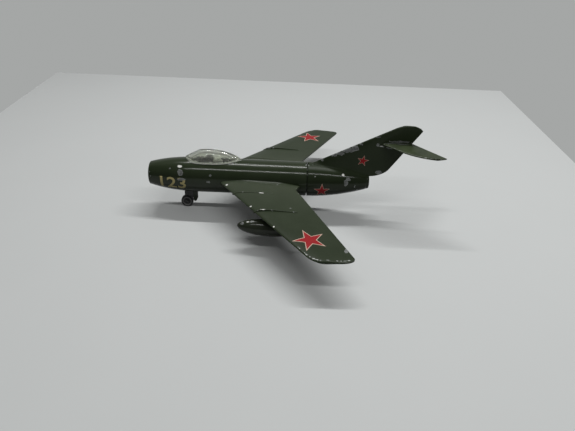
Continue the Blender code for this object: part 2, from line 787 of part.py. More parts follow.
def fin_offset(share, station, side, height):
    """Offset of a face of the fin from the middle plane."""
    rise = max(0.0, (height - AXIS_HEIGHT) / (FIN_HEIGHT - AXIS_HEIGHT))
    form = blade_form(share)
    half = (FIN_ROOT_THICKNESS + (FIN_TIP_THICKNESS - FIN_ROOT_THICKNESS) * rise) / 2 * form
    fillet = fillet_rise(height - AXIS_HEIGHT, half, fuselage_radius(station), FIN_FILLET)
    return side * (half + fillet * min(1.0, form / BLADE_EDGE) * (1.0 - share))


def fin_blade(group):
    """Lofts the fin from its foot in the rear body to its rounded tip."""
    top = AXIS_HEIGHT + SEAM_RADIUS
    tip = FIN_HEIGHT - max(FIN_TIP_FRONT_SPAN, FIN_TIP_REAR_SPAN)
    heights = spread(fin_base(), top, ROOT_RINGS) + spread(top, top + FIN_FILLET, MIDDLE_RINGS)[1:]
    heights += spread(top + FIN_FILLET, tip, MIDDLE_RINGS)[1:] + rounded_end(tip, FIN_HEIGHT, TIP_RINGS)
    rings = []
    for height in heights:
        section = blade_ring(
            fin_leading(height),
            fin_trailing(height),
            lambda share, station, side: fin_offset(share, station, side, height),
        )
        rings.append([(x_at(s), y, height) for s, y in section])
    return loft("fin_form", group, rings)


def tailplane_height():
    """Height of the tailplane's middle surface, below the top of the fin."""
    return FIN_HEIGHT - TAILPLANE_DROP


def tailplane_rear_line(out):
    """Station of the tailplane's straight trailing edge, which starts just inside the fin's."""
    root = fin_trailing(tailplane_height()) - TAILPLANE_INSET
    return root + out * math.tan(TAILPLANE_TRAILING_SWEEP)


def tailplane_front_line(out):
    """Station of the tailplane's straight leading edge, a root chord ahead."""
    root = tailplane_rear_line(0.0) - TAILPLANE_ROOT_CHORD
    return root + out * math.tan(TAILPLANE_LEADING_SWEEP)


def tailplane_tip_chord():
    """Chord between the two straight edges at the tip, which the rounding takes its shares of."""
    return tailplane_rear_line(TAILPLANE_HALF_SPAN) - tailplane_front_line(TAILPLANE_HALF_SPAN)


def tailplane_leading(out):
    """Station of the tailplane's leading edge at a distance out, with a long curve to the tip."""
    corner = (out - TAILPLANE_HALF_SPAN + TAILPLANE_TIP_FRONT_SPAN) / TAILPLANE_TIP_FRONT_SPAN
    return tailplane_front_line(out) + TAILPLANE_TIP_FRONT_SHARE * tailplane_tip_chord() * rounding(corner)


def tailplane_trailing(out):
    """Station of the tailplane's trailing edge at a distance out, with a pointed corner near the tip."""
    corner = max(0.0, (out - TAILPLANE_HALF_SPAN + TAILPLANE_TIP_REAR_SPAN) / TAILPLANE_TIP_REAR_SPAN)
    return tailplane_rear_line(out) - TAILPLANE_TIP_REAR_SHARE * tailplane_tip_chord() * corner


def tailplane_pivot():
    """Station of the middle of the tailplane's root chord, which it is skewed about."""
    return (tailplane_leading(0.0) + tailplane_trailing(0.0)) / 2


def tail_end():
    """Station of the tailplane's left rear corner, which the skew carries farthest aft."""
    out = TAILPLANE_HALF_SPAN - TAILPLANE_TIP_REAR_SPAN
    reach = tailplane_trailing(out) - tailplane_pivot()
    return tailplane_pivot() + reach * math.cos(TAILPLANE_SKEW) + out * math.sin(TAILPLANE_SKEW)


def tailplane_blade(name, group, gap=0.0, reach=0.0):
    """Lofts the tailplane. With a gap and a reach aft, it is the tool for its slot in the fin."""
    corner = TAILPLANE_HALF_SPAN - TAILPLANE_TIP_REAR_SPAN
    outs = spread(0.0, TAILPLANE_HALF_SPAN - TAILPLANE_TIP_FRONT_SPAN, MIDDLE_RINGS)
    outs += spread(outs[-1], corner, ROOT_RINGS)[1:] + [TAILPLANE_HALF_SPAN]
    signed = [-out for out in outs[:0:-1]] + outs
    pivot = tailplane_pivot()
    cosine = math.cos(TAILPLANE_SKEW)
    sine = math.sin(TAILPLANE_SKEW)
    rings = []
    for y in signed:
        taper = (TAILPLANE_TIP_THICKNESS - TAILPLANE_ROOT_THICKNESS) / TAILPLANE_HALF_SPAN
        thickness = TAILPLANE_ROOT_THICKNESS + taper * abs(y)
        section = blade_ring(
            tailplane_leading(abs(y)),
            tailplane_trailing(abs(y)),
            lambda share, station, side: side * (thickness / 2 * blade_form(share) + gap),
            gap,
            reach,
        )
        ring = []
        for station, z in section:
            aft = station - pivot
            x = x_at(pivot + aft * cosine - y * sine)
            ring.append((x, aft * sine + y * cosine, tailplane_height() + z))
        rings.append(ring)
    return loft(name, group, rings)


def build_tail(parts, cutters):
    """Rear fuselage with its fin, and the tailplane that sits askew in the fin's slot, open behind."""
    origin = (x_at(0.0), 0.0, AXIS_HEIGHT)
    casting = turned("tail_casting", parts, tail_profile(), origin)
    combine(casting, fin_blade(cutters), "UNION")
    slot = tailplane_blade("tailplane_slot", cutters, FIT_GAP, FIN_ROOT_THICKNESS)
    combine(casting, slot, "DIFFERENCE")
    combine(casting, bpy.data.objects["tail_rivet_hole"], "DIFFERENCE")
    combine(casting, bpy.data.objects["seam_notch"], "DIFFERENCE")
    dress(casting, GREEN_ENAMEL)
    dress(tailplane_blade("tailplane", parts), GREEN_ENAMEL)


def canopy_share(station):
    """Distance from the canopy's peak, as a share of the way to its front or rear end."""
    if station < CANOPY_PEAK:
        return (CANOPY_PEAK - station) / (CANOPY_PEAK - CANOPY_FRONT)
    return (station - CANOPY_PEAK) / (CANOPY_REAR - CANOPY_PEAK)


def canopy_ring(station, inset):
    """Section of the canopy's dome, with a flat foot inside the body. An inset makes the inner face."""
    share = canopy_share(station)
    body = fuselage_radius(station)
    side_power = CANOPY_FRONT_SIDE_POWER if station < CANOPY_PEAK else CANOPY_REAR_SIDE_POWER
    top_power = CANOPY_FRONT_TOP_POWER if station < CANOPY_PEAK else CANOPY_REAR_TOP_POWER
    half = CANOPY_HALF_WIDTH * (1.0 - share**side_power) - inset
    top = body + CANOPY_RISE * (1.0 - share**top_power) - inset
    edge = math.sqrt(max(0.0, body**2 - half**2)) - inset
    foot = AXIS_HEIGHT + COCKPIT_FLOOR - inset
    arc = [
        (half * math.cos(turn), AXIS_HEIGHT + edge + (top - edge) * math.sin(turn))
        for turn in spread(0.0, math.pi, CANOPY_ARC_POINTS)
    ]
    return [(x_at(station), y, z) for y, z in [(half, foot), *arc, (-half, foot)]]


def canopy_stations(margin):
    """Stations of the dome's sections, a margin inside its ends."""
    turns = spread(0.0, math.pi / 2, CANOPY_RINGS)
    ahead = CANOPY_PEAK - CANOPY_FRONT - margin
    behind = CANOPY_REAR - CANOPY_PEAK - margin
    front = [CANOPY_PEAK - ahead * math.cos(turn) for turn in turns]
    return front + [CANOPY_PEAK + behind * math.sin(turn) for turn in turns[1:]]


def build_canopy(parts, cutters):
    """Clear dome that sits on the body round the cockpit well, with the tub and seat under it."""
    dome = loft("canopy", parts, [canopy_ring(s, 0.0) for s in canopy_stations(CANOPY_END_TRIM)])
    inner = [canopy_ring(s, CANOPY_WALL) for s in canopy_stations(CANOPY_END_WALL)]
    combine(dome, loft("canopy_inside", cutters, inner), "DIFFERENCE")
    origin = (x_at(0.0), 0.0, AXIS_HEIGHT)
    seat = turned("canopy_seat", cutters, grown(body_profile(), FIT_GAP), origin)
    combine(dome, seat, "DIFFERENCE")
    dress(dome, CLEAR_PLASTIC)


def well_rim(station):
    """Height of the body's skin at the side of the cockpit well."""
    return AXIS_HEIGHT + math.sqrt(fuselage_radius(station) ** 2 - COCKPIT_HALF_WIDTH**2)


def build_cockpit(parts):
    """Dark tub in the well, and the pale seat that stands on its floor."""
    front = COCKPIT_FRONT + COCKPIT_HALF_WIDTH
    rear = COCKPIT_REAR - COCKPIT_HALF_WIDTH
    base = AXIS_HEIGHT + COCKPIT_FLOOR + FIT_GAP
    floor = base + TUB_FLOOR
    panel = well_rim(front) - SEAT_GAP
    bulkhead = well_rim(rear) - SEAT_GAP
    tub_outline = [
        (x_at(front), base),
        (x_at(rear), base),
        (x_at(rear), bulkhead),
        (x_at(rear - TUB_WALL), bulkhead),
        (x_at(rear - 2 * TUB_WALL), floor),
        (x_at(front + 2 * TUB_WALL), floor),
        (x_at(front + TUB_WALL), panel),
        (x_at(front), panel),
    ]
    width = 2 * (COCKPIT_HALF_WIDTH - FIT_GAP)
    tub = plate("cockpit_tub", parts, tub_outline, width, (0.0, 0.0, 0.0))
    dress(soften(tub, EDGE_ROUND), DARK_PLASTIC)
    foot = floor + FIT_GAP
    back = SEAT_STATION + SEAT_LENGTH
    seat_outline = [
        (x_at(SEAT_STATION), foot),
        (x_at(back), foot),
        (x_at(back + SEAT_BACK), AXIS_HEIGHT + SEAT_TOP),
        (x_at(back), AXIS_HEIGHT + SEAT_TOP),
        (x_at(back - SEAT_BACK), foot + SEAT_PAN),
        (x_at(SEAT_STATION), foot + SEAT_PAN),
    ]
    seat = plate("pilot_seat", parts, seat_outline, 2 * SEAT_HALF_WIDTH, (0.0, 0.0, 0.0))
    dress(soften(seat, EDGE_ROUND), PALE_PLASTIC)


def build_belly(parts, cutters):
    """Plate that closes the hollow, flush but for its flat pad, and the rivets, whose heads lie in recesses."""
    top = belly_top()
    low = AXIS_HEIGHT - FUSELAGE_RADIUS - SINK
    belly = upright_slot("belly_plate", parts, BELLY_FRONT, belly_rear(), BELLY_HALF_WIDTH, low, top)
    origin = (x_at(0.0), 0.0, AXIS_HEIGHT)
    combine(belly, turned("belly_form", cutters, body_profile(), origin), "INTERSECT")
    pad = belly_pad()
    pad_cut = block(
        "pad_cut",
        cutters,
        (x_at(BELLY_FRONT) - SINK, -FUSELAGE_RADIUS, low - SINK),
        (x_at(belly_rear()) + SINK, FUSELAGE_RADIUS, pad),
    )
    combine(belly, pad_cut, "DIFFERENCE")
    recess = RIVET_HEAD + 2 * FIT_GAP
    grip = BELLY_THICKNESS - recess + FIT_GAP + RIVET_GRIP
    for name, station in rivet_stations():
        ends = [(x_at(station), 0.0, height) for height in (pad - SINK, top + SINK)]
        hole = rod(f"belly_hole_{name}", cutters, RIVET_RADIUS + FIT_GAP, *ends)
        combine(belly, hole, "DIFFERENCE")
        ends = [(x_at(station), 0.0, height) for height in (pad - SINK, pad + recess)]
        room = rod(f"head_recess_{name}", cutters, RIVET_HEAD_RADIUS + FIT_GAP, *ends)
        combine(belly, room, "DIFFERENCE")
        rivet(f"belly_rivet_{name}", parts, station, pad + recess - FIT_GAP, grip, BARE_ZINC)
    dress(belly, BARE_ZINC)
    station = tail_rivet_station()
    bottom = AXIS_HEIGHT - fuselage_radius(station) - FIT_GAP
    rivet("tail_rivet", parts, station, bottom, TAIL_RIVET_GRIP, BARE_ZINC)


def axle_height(radius):
    """Height of an axle whose faceted tyre stands on a flat facet."""
    return radius * math.cos(math.pi / WHEEL_STEPS)


def tyre_profile(radius, width):
    """Ring section of a tyre with rounded shoulders."""
    inner = radius - TYRE_DEPTH
    shoulder = TYRE_DEPTH / 2
    side = width / 2 - shoulder
    points = [(inner, width / 2)]
    for turn in spread(math.pi / 2, 0.0, SHOULDER_POINTS):
        across = shoulder * math.cos(turn)
        points.append((radius - shoulder + across, side + shoulder * math.sin(turn)))
    return points + [(place, -along) for place, along in points[::-1]]


def hub_profile(radius, width):
    """Ring section of a hub with a dished face and a boss round its bore."""
    rim = radius - TYRE_DEPTH - FIT_GAP
    bore = AXLE_RADIUS + FIT_GAP
    half = width / 2
    dish = half - HUB_DISH
    face = rim - TYRE_DEPTH / 2
    points = [(bore, half), (HUB_BOSS_RADIUS, half), (HUB_BOSS_RADIUS + HUB_DISH / 2, dish)]
    points += [(face - HUB_DISH / 2, dish), (face, half), (rim, half)]
    return points + [(place, -along) for place, along in points[::-1]]


def build_wheel(parts, kind, suffix, centre, outward, radius, width):
    """Tyre and hub that turn together about an axle line along Y, and the headed axle that stays still."""
    pivot = bpy.data.objects.new(f"{kind}_wheel_axis{suffix}", None)
    parts.objects.link(pivot)
    pivot.location = centre
    here = (0.0, 0.0, 0.0)
    tread = tyre_profile(radius, width)
    tyre = turned(f"{kind}_tyre{suffix}", parts, tread, here, "Y", WHEEL_STEPS, True)
    disc = hub_profile(radius, width)
    hub = turned(f"{kind}_hub{suffix}", parts, disc, here, "Y", WHEEL_STEPS, True)
    for item in (tyre, hub):
        item.parent = pivot
        item.rotation_euler.y = math.pi / WHEEL_STEPS
    dress(tyre, BLACK_RUBBER)
    dress(hub, DARK_PLASTIC)
    head_face = width / 2 + SEAT_GAP
    end = -head_face - ARM_THICKNESS
    profile = [
        (0.0, head_face + AXLE_HEAD),
        (AXLE_HEAD_RADIUS / 2, head_face + AXLE_HEAD),
        (AXLE_HEAD_RADIUS, head_face + AXLE_HEAD / 2),
        (AXLE_HEAD_RADIUS, head_face),
        (AXLE_RADIUS, head_face),
        (AXLE_RADIUS, end),
        (0.0, end),
    ]
    axle = turned(f"{kind}_axle{suffix}", parts, profile, centre, "Y", PIN_STEPS)
    if outward < 0:
        axle.rotation_euler.z = math.pi
    dress(axle, BARE_ZINC)


def arm_middle(width):
    """Distance from a wheel's middle to the middle of the arm beside it."""
    return width / 2 + SEAT_GAP + ARM_THICKNESS / 2


def arm_outline(centre, top_front, top_rear, top):
    """Side outline of an arm, from a flat top down to the round boss at its axle."""
    x, _, z = centre
    outline = [(top_rear, top), (top_front, top)]
    for turn in spread(math.pi, 2 * math.pi, BOSS_POINTS):
        outline.append((x + ARM_BOSS_RADIUS * math.cos(turn), z + ARM_BOSS_RADIUS * math.sin(turn)))
    return outline


def bore_arm(leg, cutters, centre, arm_y):
    """Cuts the axle's hole through an arm."""
    reach = ARM_THICKNESS / 2 + SINK
    ends = [(centre[0], arm_y + end, centre[2]) for end in (-reach, reach)]
    combine(leg, rod(leg.name + "_bore", cutters, AXLE_RADIUS + FIT_GAP, *ends), "DIFFERENCE")


def nose_leg_station():
    """Station of the nose leg, behind its axle."""
    return NOSE_WHEEL_STATION + NOSE_LEG_LAG


def door_station():
    """Station of the middle of the nose door."""
    return NOSE_WHEEL_STATION + DOOR_LAG


def build_nose_gear(parts, cutters):
    """Half fork plugged into the nose, with its wheel, and the door plate behind it."""
    centre = (x_at(NOSE_WHEEL_STATION), 0.0, axle_height(NOSE_WHEEL_RADIUS))
    build_wheel(parts, "nose", "", centre, -1.0, NOSE_WHEEL_RADIUS, NOSE_WHEEL_WIDTH)
    arm_y = arm_middle(NOSE_WHEEL_WIDTH)
    x = x_at(nose_leg_station())
    low = centre[2] + NOSE_WHEEL_RADIUS + NOSE_BRIDGE_GAP
    high = low + NOSE_BRIDGE
    bottom = AXIS_HEIGHT - fuselage_radius(nose_leg_station())
    half = NOSE_BRIDGE_HALF_WIDTH
    outline = arm_outline(centre, x - half, x + half, high)
    leg = plate("nose_leg", parts, outline, ARM_THICKNESS, (0.0, arm_y, 0.0))
    bridge = block(
        "nose_bridge",
        cutters,
        (x - half, -half, low),
        (x + half, arm_y + ARM_THICKNESS / 4, high),
    )
    combine(leg, bridge, "UNION")
    ends = [(x, 0.0, low + SINK), (x, 0.0, bottom + NOSE_LEG_GRIP)]
    strut = rod("nose_strut", cutters, NOSE_STRUT_RADIUS, *ends)
    combine(leg, strut, "UNION")
    bore_arm(leg, cutters, centre, arm_y)
    dress(leg, DARK_PLASTIC)
    build_door(parts)


def door_root():
    """Height of the body's underside where the nose door hangs."""
    return AXIS_HEIGHT - math.sqrt(fuselage_radius(door_station()) ** 2 - DOOR_OUT**2)


def build_door(parts):
    """Thin plate that hangs behind the nose wheel, with its top edge in a slot."""
    half = DOOR_WIDTH / 2
    top = door_root() + DOOR_GRIP
    low = door_root() - DOOR_DROP
    outline = [
        (x_at(door_station() + half), top),
        (x_at(door_station() - half), top),
        (x_at(door_station() - half), low + DOOR_WIDTH / 2),
        (x_at(door_station() - half / 2), low),
        (x_at(door_station() + half / 3), low + DOOR_WIDTH / 4),
        (x_at(door_station() + half), low + DOOR_WIDTH),
    ]
    door = plate("nose_door", parts, outline, DOOR_THICKNESS, (0.0, -DOOR_OUT, 0.0))
    dress(door, GREEN_ENAMEL)


def main_leg_out():
    """Distance out to a main leg, on the inboard side of its wheel."""
    return MAIN_WHEEL_OUT - arm_middle(MAIN_WHEEL_WIDTH)


def main_leg_station():
    """Station of a main leg's collar, well inside the wing's trailing edge."""
    return wing_trailing(main_leg_out()) - MAIN_LEG_INSET


def build_main_gear(parts, cutters, clearance):
    """Raked leg under each wing, with its collar, peg and wheel."""
    for side, suffix in ((-1.0, "_left"), (1.0, "_right")):
        station = main_leg_station()
        x = x_at(station)
        centre = (x + MAIN_LEG_LEAD, side * MAIN_WHEEL_OUT, axle_height(MAIN_WHEEL_RADIUS))
        build_wheel(parts, "main", suffix, centre, side, MAIN_WHEEL_RADIUS, MAIN_WHEEL_WIDTH)
        y = side * main_leg_out()
        under = wing_surface(station, main_leg_out(), -1.0)
        shoulder = under - SEAT_GAP - MAIN_LEG_COLLAR
        outline = arm_outline(centre, x - MAIN_LEG_RADIUS, x + MAIN_LEG_RADIUS, shoulder + SINK)
        leg = plate("main_leg" + suffix, parts, outline, ARM_THICKNESS, (0.0, y, 0.0))
        ends = [(x, y, shoulder), (x, y, under + SINK)]
        combine(leg, rod("main_collar" + suffix, cutters, MAIN_LEG_COLLAR_RADIUS, *ends), "UNION")
        combine(leg, clearance, "DIFFERENCE")
        ends = [(x, y, shoulder + SINK), (x, y, under + PEG_GRIP)]
        combine(leg, rod("main_peg" + suffix, cutters, PEG_RADIUS, *ends), "UNION")
        bore_arm(leg, cutters, centre, y)
        dress(leg, DARK_PLASTIC)


def tank_nose():
    """Station of a tank's nose, ahead of the wing's leading edge."""
    return wing_leading(TANK_OUT) - TANK_LEAD


def peg_station():
    """Station of a tank's peg, at the middle of its pylon."""
    return tank_nose() + PYLON_LEAD + PYLON_LENGTH / 2


def tank_profile():
    """Turned outline of a tank: a blunt round nose and a longer tapered tail."""
    points = []
    for turn in spread(0.0, math.pi / 2, TANK_RINGS):
        station = TANK_LENGTH * (TANK_CREST + (1.0 - TANK_CREST) * math.cos(turn))
        share = (station / TANK_LENGTH - TANK_CREST) / (1.0 - TANK_CREST)
        points.append((TANK_RADIUS * (1.0 - share**TANK_TAIL_POWER), station))
    for turn in spread(0.0, math.pi / 2, TANK_RINGS)[1:]:
        points.append((TANK_RADIUS * math.cos(turn), TANK_LENGTH * TANK_CREST * (1.0 - math.sin(turn))))
    points[0] = (0.0, TANK_LENGTH)
    points[-1] = (0.0, 0.0)
    return points


def build_tanks(parts, cutters, clearance):
    """Tank and pylon moulded together under each wing, held by a peg."""
    for side, suffix in ((-1.0, "_left"), (1.0, "_right")):
        y = side * TANK_OUT
        height = wing_height(TANK_OUT) - TANK_DROP
        origin = (x_at(tank_nose()), y, height)
        tank = turned("drop_tank" + suffix, parts, tank_profile(), origin, "X", WHEEL_STEPS)
        front = tank_nose() + PYLON_LEAD
        rear = front + PYLON_LENGTH
        above = wing_height(TANK_OUT)
        outline = [
            (x_at(front + PYLON_THICKNESS), height),
            (x_at(rear - PYLON_THICKNESS), height),
            (x_at(rear), above),
            (x_at(front), above),
        ]
        pylon = plate("pylon" + suffix, cutters, outline, PYLON_THICKNESS, (0.0, y, 0.0))
        combine(tank, pylon, "UNION")
        combine(tank, clearance, "DIFFERENCE")
        x = x_at(peg_station())
        under = wing_surface(peg_station(), TANK_OUT, -1.0)
        peg = rod("tank_peg" + suffix, cutters, PEG_RADIUS, (x, y, height), (x, y, under + PEG_GRIP))
        combine(tank, peg, "UNION")
        dress(tank, GREEN_ENAMEL)


def main():
    """Builds the airplane piece by piece."""
    clear_scene()
    parts = new_collection("toy_airplane")
    cutters = new_collection("cutters")
    build_forward_casting(parts, cutters)
    build_tail(parts, cutters)
    build_canopy(parts, cutters)
    build_cockpit(parts)
    build_belly(parts, cutters)
    clearance = wing_blade("wing_clearance", cutters, SEAT_GAP)
    build_nose_gear(parts, cutters)
    build_main_gear(parts, cutters, clearance)
    build_tanks(parts, cutters, clearance)
    bpy.context.view_layer.update()


main()
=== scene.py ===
"""Looks of a die-cast toy jet airplane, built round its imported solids.

Stations run aft from the nose lip along +X, -Y is the left side and +Z is up. Sizes are in metres. The
castings follow the formulas of the solids, with finer sections, rounded edges and a few trims.
"""

from __future__ import annotations

import json
import logging
from dataclasses import dataclass, field
from enum import Enum
from functools import cache
from math import cos, exp, pi, radians, sin, sqrt, tan
from typing import Callable, Sequence

import bmesh
import bpy
import numpy as np
from mathutils import Matrix, Vector

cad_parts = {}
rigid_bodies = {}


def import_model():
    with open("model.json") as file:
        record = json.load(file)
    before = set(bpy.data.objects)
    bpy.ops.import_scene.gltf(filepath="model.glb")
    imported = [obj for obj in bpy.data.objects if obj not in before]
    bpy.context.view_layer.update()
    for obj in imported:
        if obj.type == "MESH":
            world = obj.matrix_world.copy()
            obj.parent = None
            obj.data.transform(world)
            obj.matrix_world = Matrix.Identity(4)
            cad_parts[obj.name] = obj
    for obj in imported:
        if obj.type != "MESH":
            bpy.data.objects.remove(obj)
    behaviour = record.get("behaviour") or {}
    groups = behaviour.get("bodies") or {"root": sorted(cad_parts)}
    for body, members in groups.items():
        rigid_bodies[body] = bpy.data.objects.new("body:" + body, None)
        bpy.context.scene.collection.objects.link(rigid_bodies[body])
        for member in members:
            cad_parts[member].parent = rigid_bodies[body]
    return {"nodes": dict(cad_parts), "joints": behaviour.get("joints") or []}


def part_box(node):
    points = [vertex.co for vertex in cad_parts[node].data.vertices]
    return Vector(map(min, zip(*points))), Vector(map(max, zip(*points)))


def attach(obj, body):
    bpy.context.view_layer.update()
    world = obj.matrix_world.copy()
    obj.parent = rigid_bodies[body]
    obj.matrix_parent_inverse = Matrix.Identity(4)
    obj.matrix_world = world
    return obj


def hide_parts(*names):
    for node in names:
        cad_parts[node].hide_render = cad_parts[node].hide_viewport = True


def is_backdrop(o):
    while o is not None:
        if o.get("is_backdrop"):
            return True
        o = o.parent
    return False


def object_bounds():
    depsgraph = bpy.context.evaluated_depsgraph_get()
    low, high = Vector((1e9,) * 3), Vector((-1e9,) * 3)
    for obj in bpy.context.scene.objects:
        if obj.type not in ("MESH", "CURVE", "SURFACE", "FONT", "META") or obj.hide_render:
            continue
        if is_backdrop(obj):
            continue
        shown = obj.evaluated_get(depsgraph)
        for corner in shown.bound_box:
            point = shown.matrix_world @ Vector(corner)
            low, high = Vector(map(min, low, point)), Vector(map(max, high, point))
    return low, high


LOG = logging.getLogger("toy_jet")
MM = 0.001
Item = bpy.types.Object
Socket = bpy.types.NodeSocket
Finish = bpy.types.Material
NodeTree = bpy.types.NodeTree
Array = np.ndarray
Pair = tuple[float, float]
Point = tuple[float, float, float]
Profile = list[Pair]
Colour = Point
FIT_GAP = 0.05 * MM
SEAT_GAP = 0.10 * MM
SINK = 0.40 * MM
WELD = 1e-7
RAY_REACH = 20 * MM
STAR_POINTS = 5
CHIP_EDGE = (1.05, 0.97)
SMOOTH_ANGLE = radians(38)


class Side(Enum):
    """The two sides of the airplane, with the sign of Y on each."""

    LEFT = -1.0
    RIGHT = 1.0

    @property
    def label(self) -> str:
        """Lower-case name for piece names."""
        return self.name.lower()


class Axis(Enum):
    """Line that a profile is turned about, as the rotation that brings Z onto it."""

    X = (0.0, pi / 2, 0.0)
    Y = (-pi / 2, 0.0, 0.0)
    Z = (0.0, 0.0, 0.0)


class Cut(Enum):
    """What one solid does to another."""

    JOIN = "UNION"
    REMOVE = "DIFFERENCE"
    KEEP = "INTERSECT"


class Body(Enum):
    """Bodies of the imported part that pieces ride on."""

    AIRFRAME = "airframe"
    NOSE_WHEEL = "nose_wheel"
    LEFT_WHEEL = "main_wheel_left"
    RIGHT_WHEEL = "main_wheel_right"


def spread(start: float, end: float, count: int) -> list[float]:
    """Evenly spaced values.

    Args:
        start: First value.
        end: Last value.
        count: How many, both ends included.

    Returns:
        The values in order.
    """
    return [start + (end - start) * k / (count - 1) for k in range(count)]


def rounding(share: float) -> float:
    """Setback of a quarter ellipse, from 0 at its start to 1 at its end."""
    return 1.0 - sqrt(max(0.0, 1.0 - min(max(share, 0.0), 1.0) ** 2))


def crowded(start: float, end: float, count: int) -> list[float]:
    """Values after start that crowd towards a rounded end."""
    return [start + (end - start) * sin(pi / 2 * k / count) for k in range(1, count + 1)]


class Network:
    """Nodes under construction in one tree."""

    prefix = "ShaderNode"

    def __init__(self, tree: NodeTree) -> None:
        """Takes the tree that the nodes go into."""
        self.tree = tree

    def feed(self, socket: Socket, value: object) -> None:
        """Links a socket into an input, or sets the input's value.

        Args:
            socket: The input.
            value: Socket to link, or value to set.
        """
        if isinstance(value, Socket):
            self.tree.links.new(value, socket)
        else:
            socket.default_value = value

    def node(self, kind: str, *values: object, **settings: object) -> bpy.types.Node:
        """Adds a node.

        Args:
            kind: Type of the node, without the tree's own prefix.
            values: What feeds each live input in order; None leaves one alone.
            settings: Properties of the node.

        Returns:
            The new node.
        """
        made = self.tree.nodes.new(kind if kind.startswith("ShaderNode") else self.prefix + kind)
        for label, value in settings.items():
            setattr(made, label, value)
        live = [socket for socket in made.inputs if socket.enabled]
        for socket, value in zip(live, values):
            if value is not None:
                self.feed(socket, value)
        return made

    def result(self, kind: str, *values: object, **settings: object) -> Socket:
        """Adds a node and gives its first live output."""
        made = self.node(kind, *values, **settings)
        return next(socket for socket in made.outputs if socket.enabled)

    def math(self, operation: str, *values: object) -> Socket:
        """Adds a Math node and gives its result."""
        return self.result("ShaderNodeMath", *values, operation=operation)

    def vector(self, operation: str, *values: object) -> Socket:
        """Adds a Vector Math node and gives its result."""
        return self.result("ShaderNodeVectorMath", *values, operation=operation)


class Tree(Network):
    """A Geometry Nodes tree under construction."""

    prefix = "GeometryNode"

    def __init__(self, name: str, inputs: Sequence[tuple[str, str]]) -> None:
        """Makes the tree with its geometry sockets and named inputs.

        Args:
            name: Name of the tree.
            inputs: Name and kind of each further input.
        """
        super().__init__(bpy.data.node_groups.new(name, "GeometryNodeTree"))
        face = self.tree.interface
        for label, kind in [("Geometry", "Geometry"), *inputs]:
            face.new_socket(label, in_out="INPUT", socket_type=f"NodeSocket{kind}")
        face.new_socket("Geometry", in_out="OUTPUT", socket_type="NodeSocketGeometry")
        self.source = self.tree.nodes.new("NodeGroupInput")

    def given(self, label: str) -> Socket:
        """Socket of a named input."""
        return self.source.outputs[label]

    def finish(self, geometry: Socket) -> NodeTree:
        """Ends the tree: instances are made real and the finish is set.

        Args:
            geometry: The result.

        Returns:
            The finished tree.
        """
        real = self.node("RealizeInstances", geometry).outputs[0]
        dressed = self.node("SetMaterial", real, None, self.given("Finish")).outputs[0]
        self.feed(self.tree.nodes.new("NodeGroupOutput").inputs[0], dressed)
        return self.tree


@cache
def turning_tree() -> NodeTree:
    """Tree that turns the input's row of points (radius, 0, place) about Z into a skin.

    Returns:
        The finished tree.
    """
    tree = Tree("turned_form", [("Steps", "Int"), ("Finish", "Material")])
    rows = tree.node("AttributeDomainSize", tree.given("Geometry"), component="MESH").outputs["Point Count"]
    columns = tree.math("ADD", tree.given("Steps"), 1.0)
    skin = tree.node("MeshGrid", None, None, rows, columns).outputs["Mesh"]
    index = tree.node("InputIndex").outputs[0]
    row = tree.math("FLOOR", tree.math("DIVIDE", tree.math("ADD", index, 0.5), columns))
    column = tree.math("SUBTRACT", index, tree.math("MULTIPLY", row, columns))
    place = tree.node("InputPosition").outputs[0]
    sample = tree.node(
        "SampleIndex", tree.given("Geometry"), place, row, data_type="FLOAT_VECTOR", domain="POINT"
    )
    parts = tree.node("ShaderNodeSeparateXYZ", sample.outputs[0]).outputs
    turn = tree.math("DIVIDE", tree.math("MULTIPLY", column, 2 * pi), tree.given("Steps"))
    across = tree.math("MULTIPLY", parts[0], tree.math("COSINE", turn))
    along = tree.math("MULTIPLY", parts[0], tree.math("SINE", turn))
    point = tree.node("ShaderNodeCombineXYZ", across, along, parts[2]).outputs[0]
    moved = tree.node("SetPosition", skin, None, point).outputs[0]
    return tree.finish(tree.node("MergeByDistance", moved, None, WELD).outputs[0])


def star_tree() -> NodeTree:
    """Tree that draws a flat five-pointed star with one point along +X.

    Returns:
        The finished tree.
    """
    tree = Tree("star_figure", [("Radius", "Float"), ("Waist", "Float"), ("Finish", "Material")])
    inner = tree.math("MULTIPLY", tree.given("Radius"), tree.given("Waist"))
    outline = tree.node("CurveStar", STAR_POINTS, inner, tree.given("Radius")).outputs["Curve"]
    return tree.finish(tree.node("FillCurve", outline, mode="TRIANGLES").outputs[0])


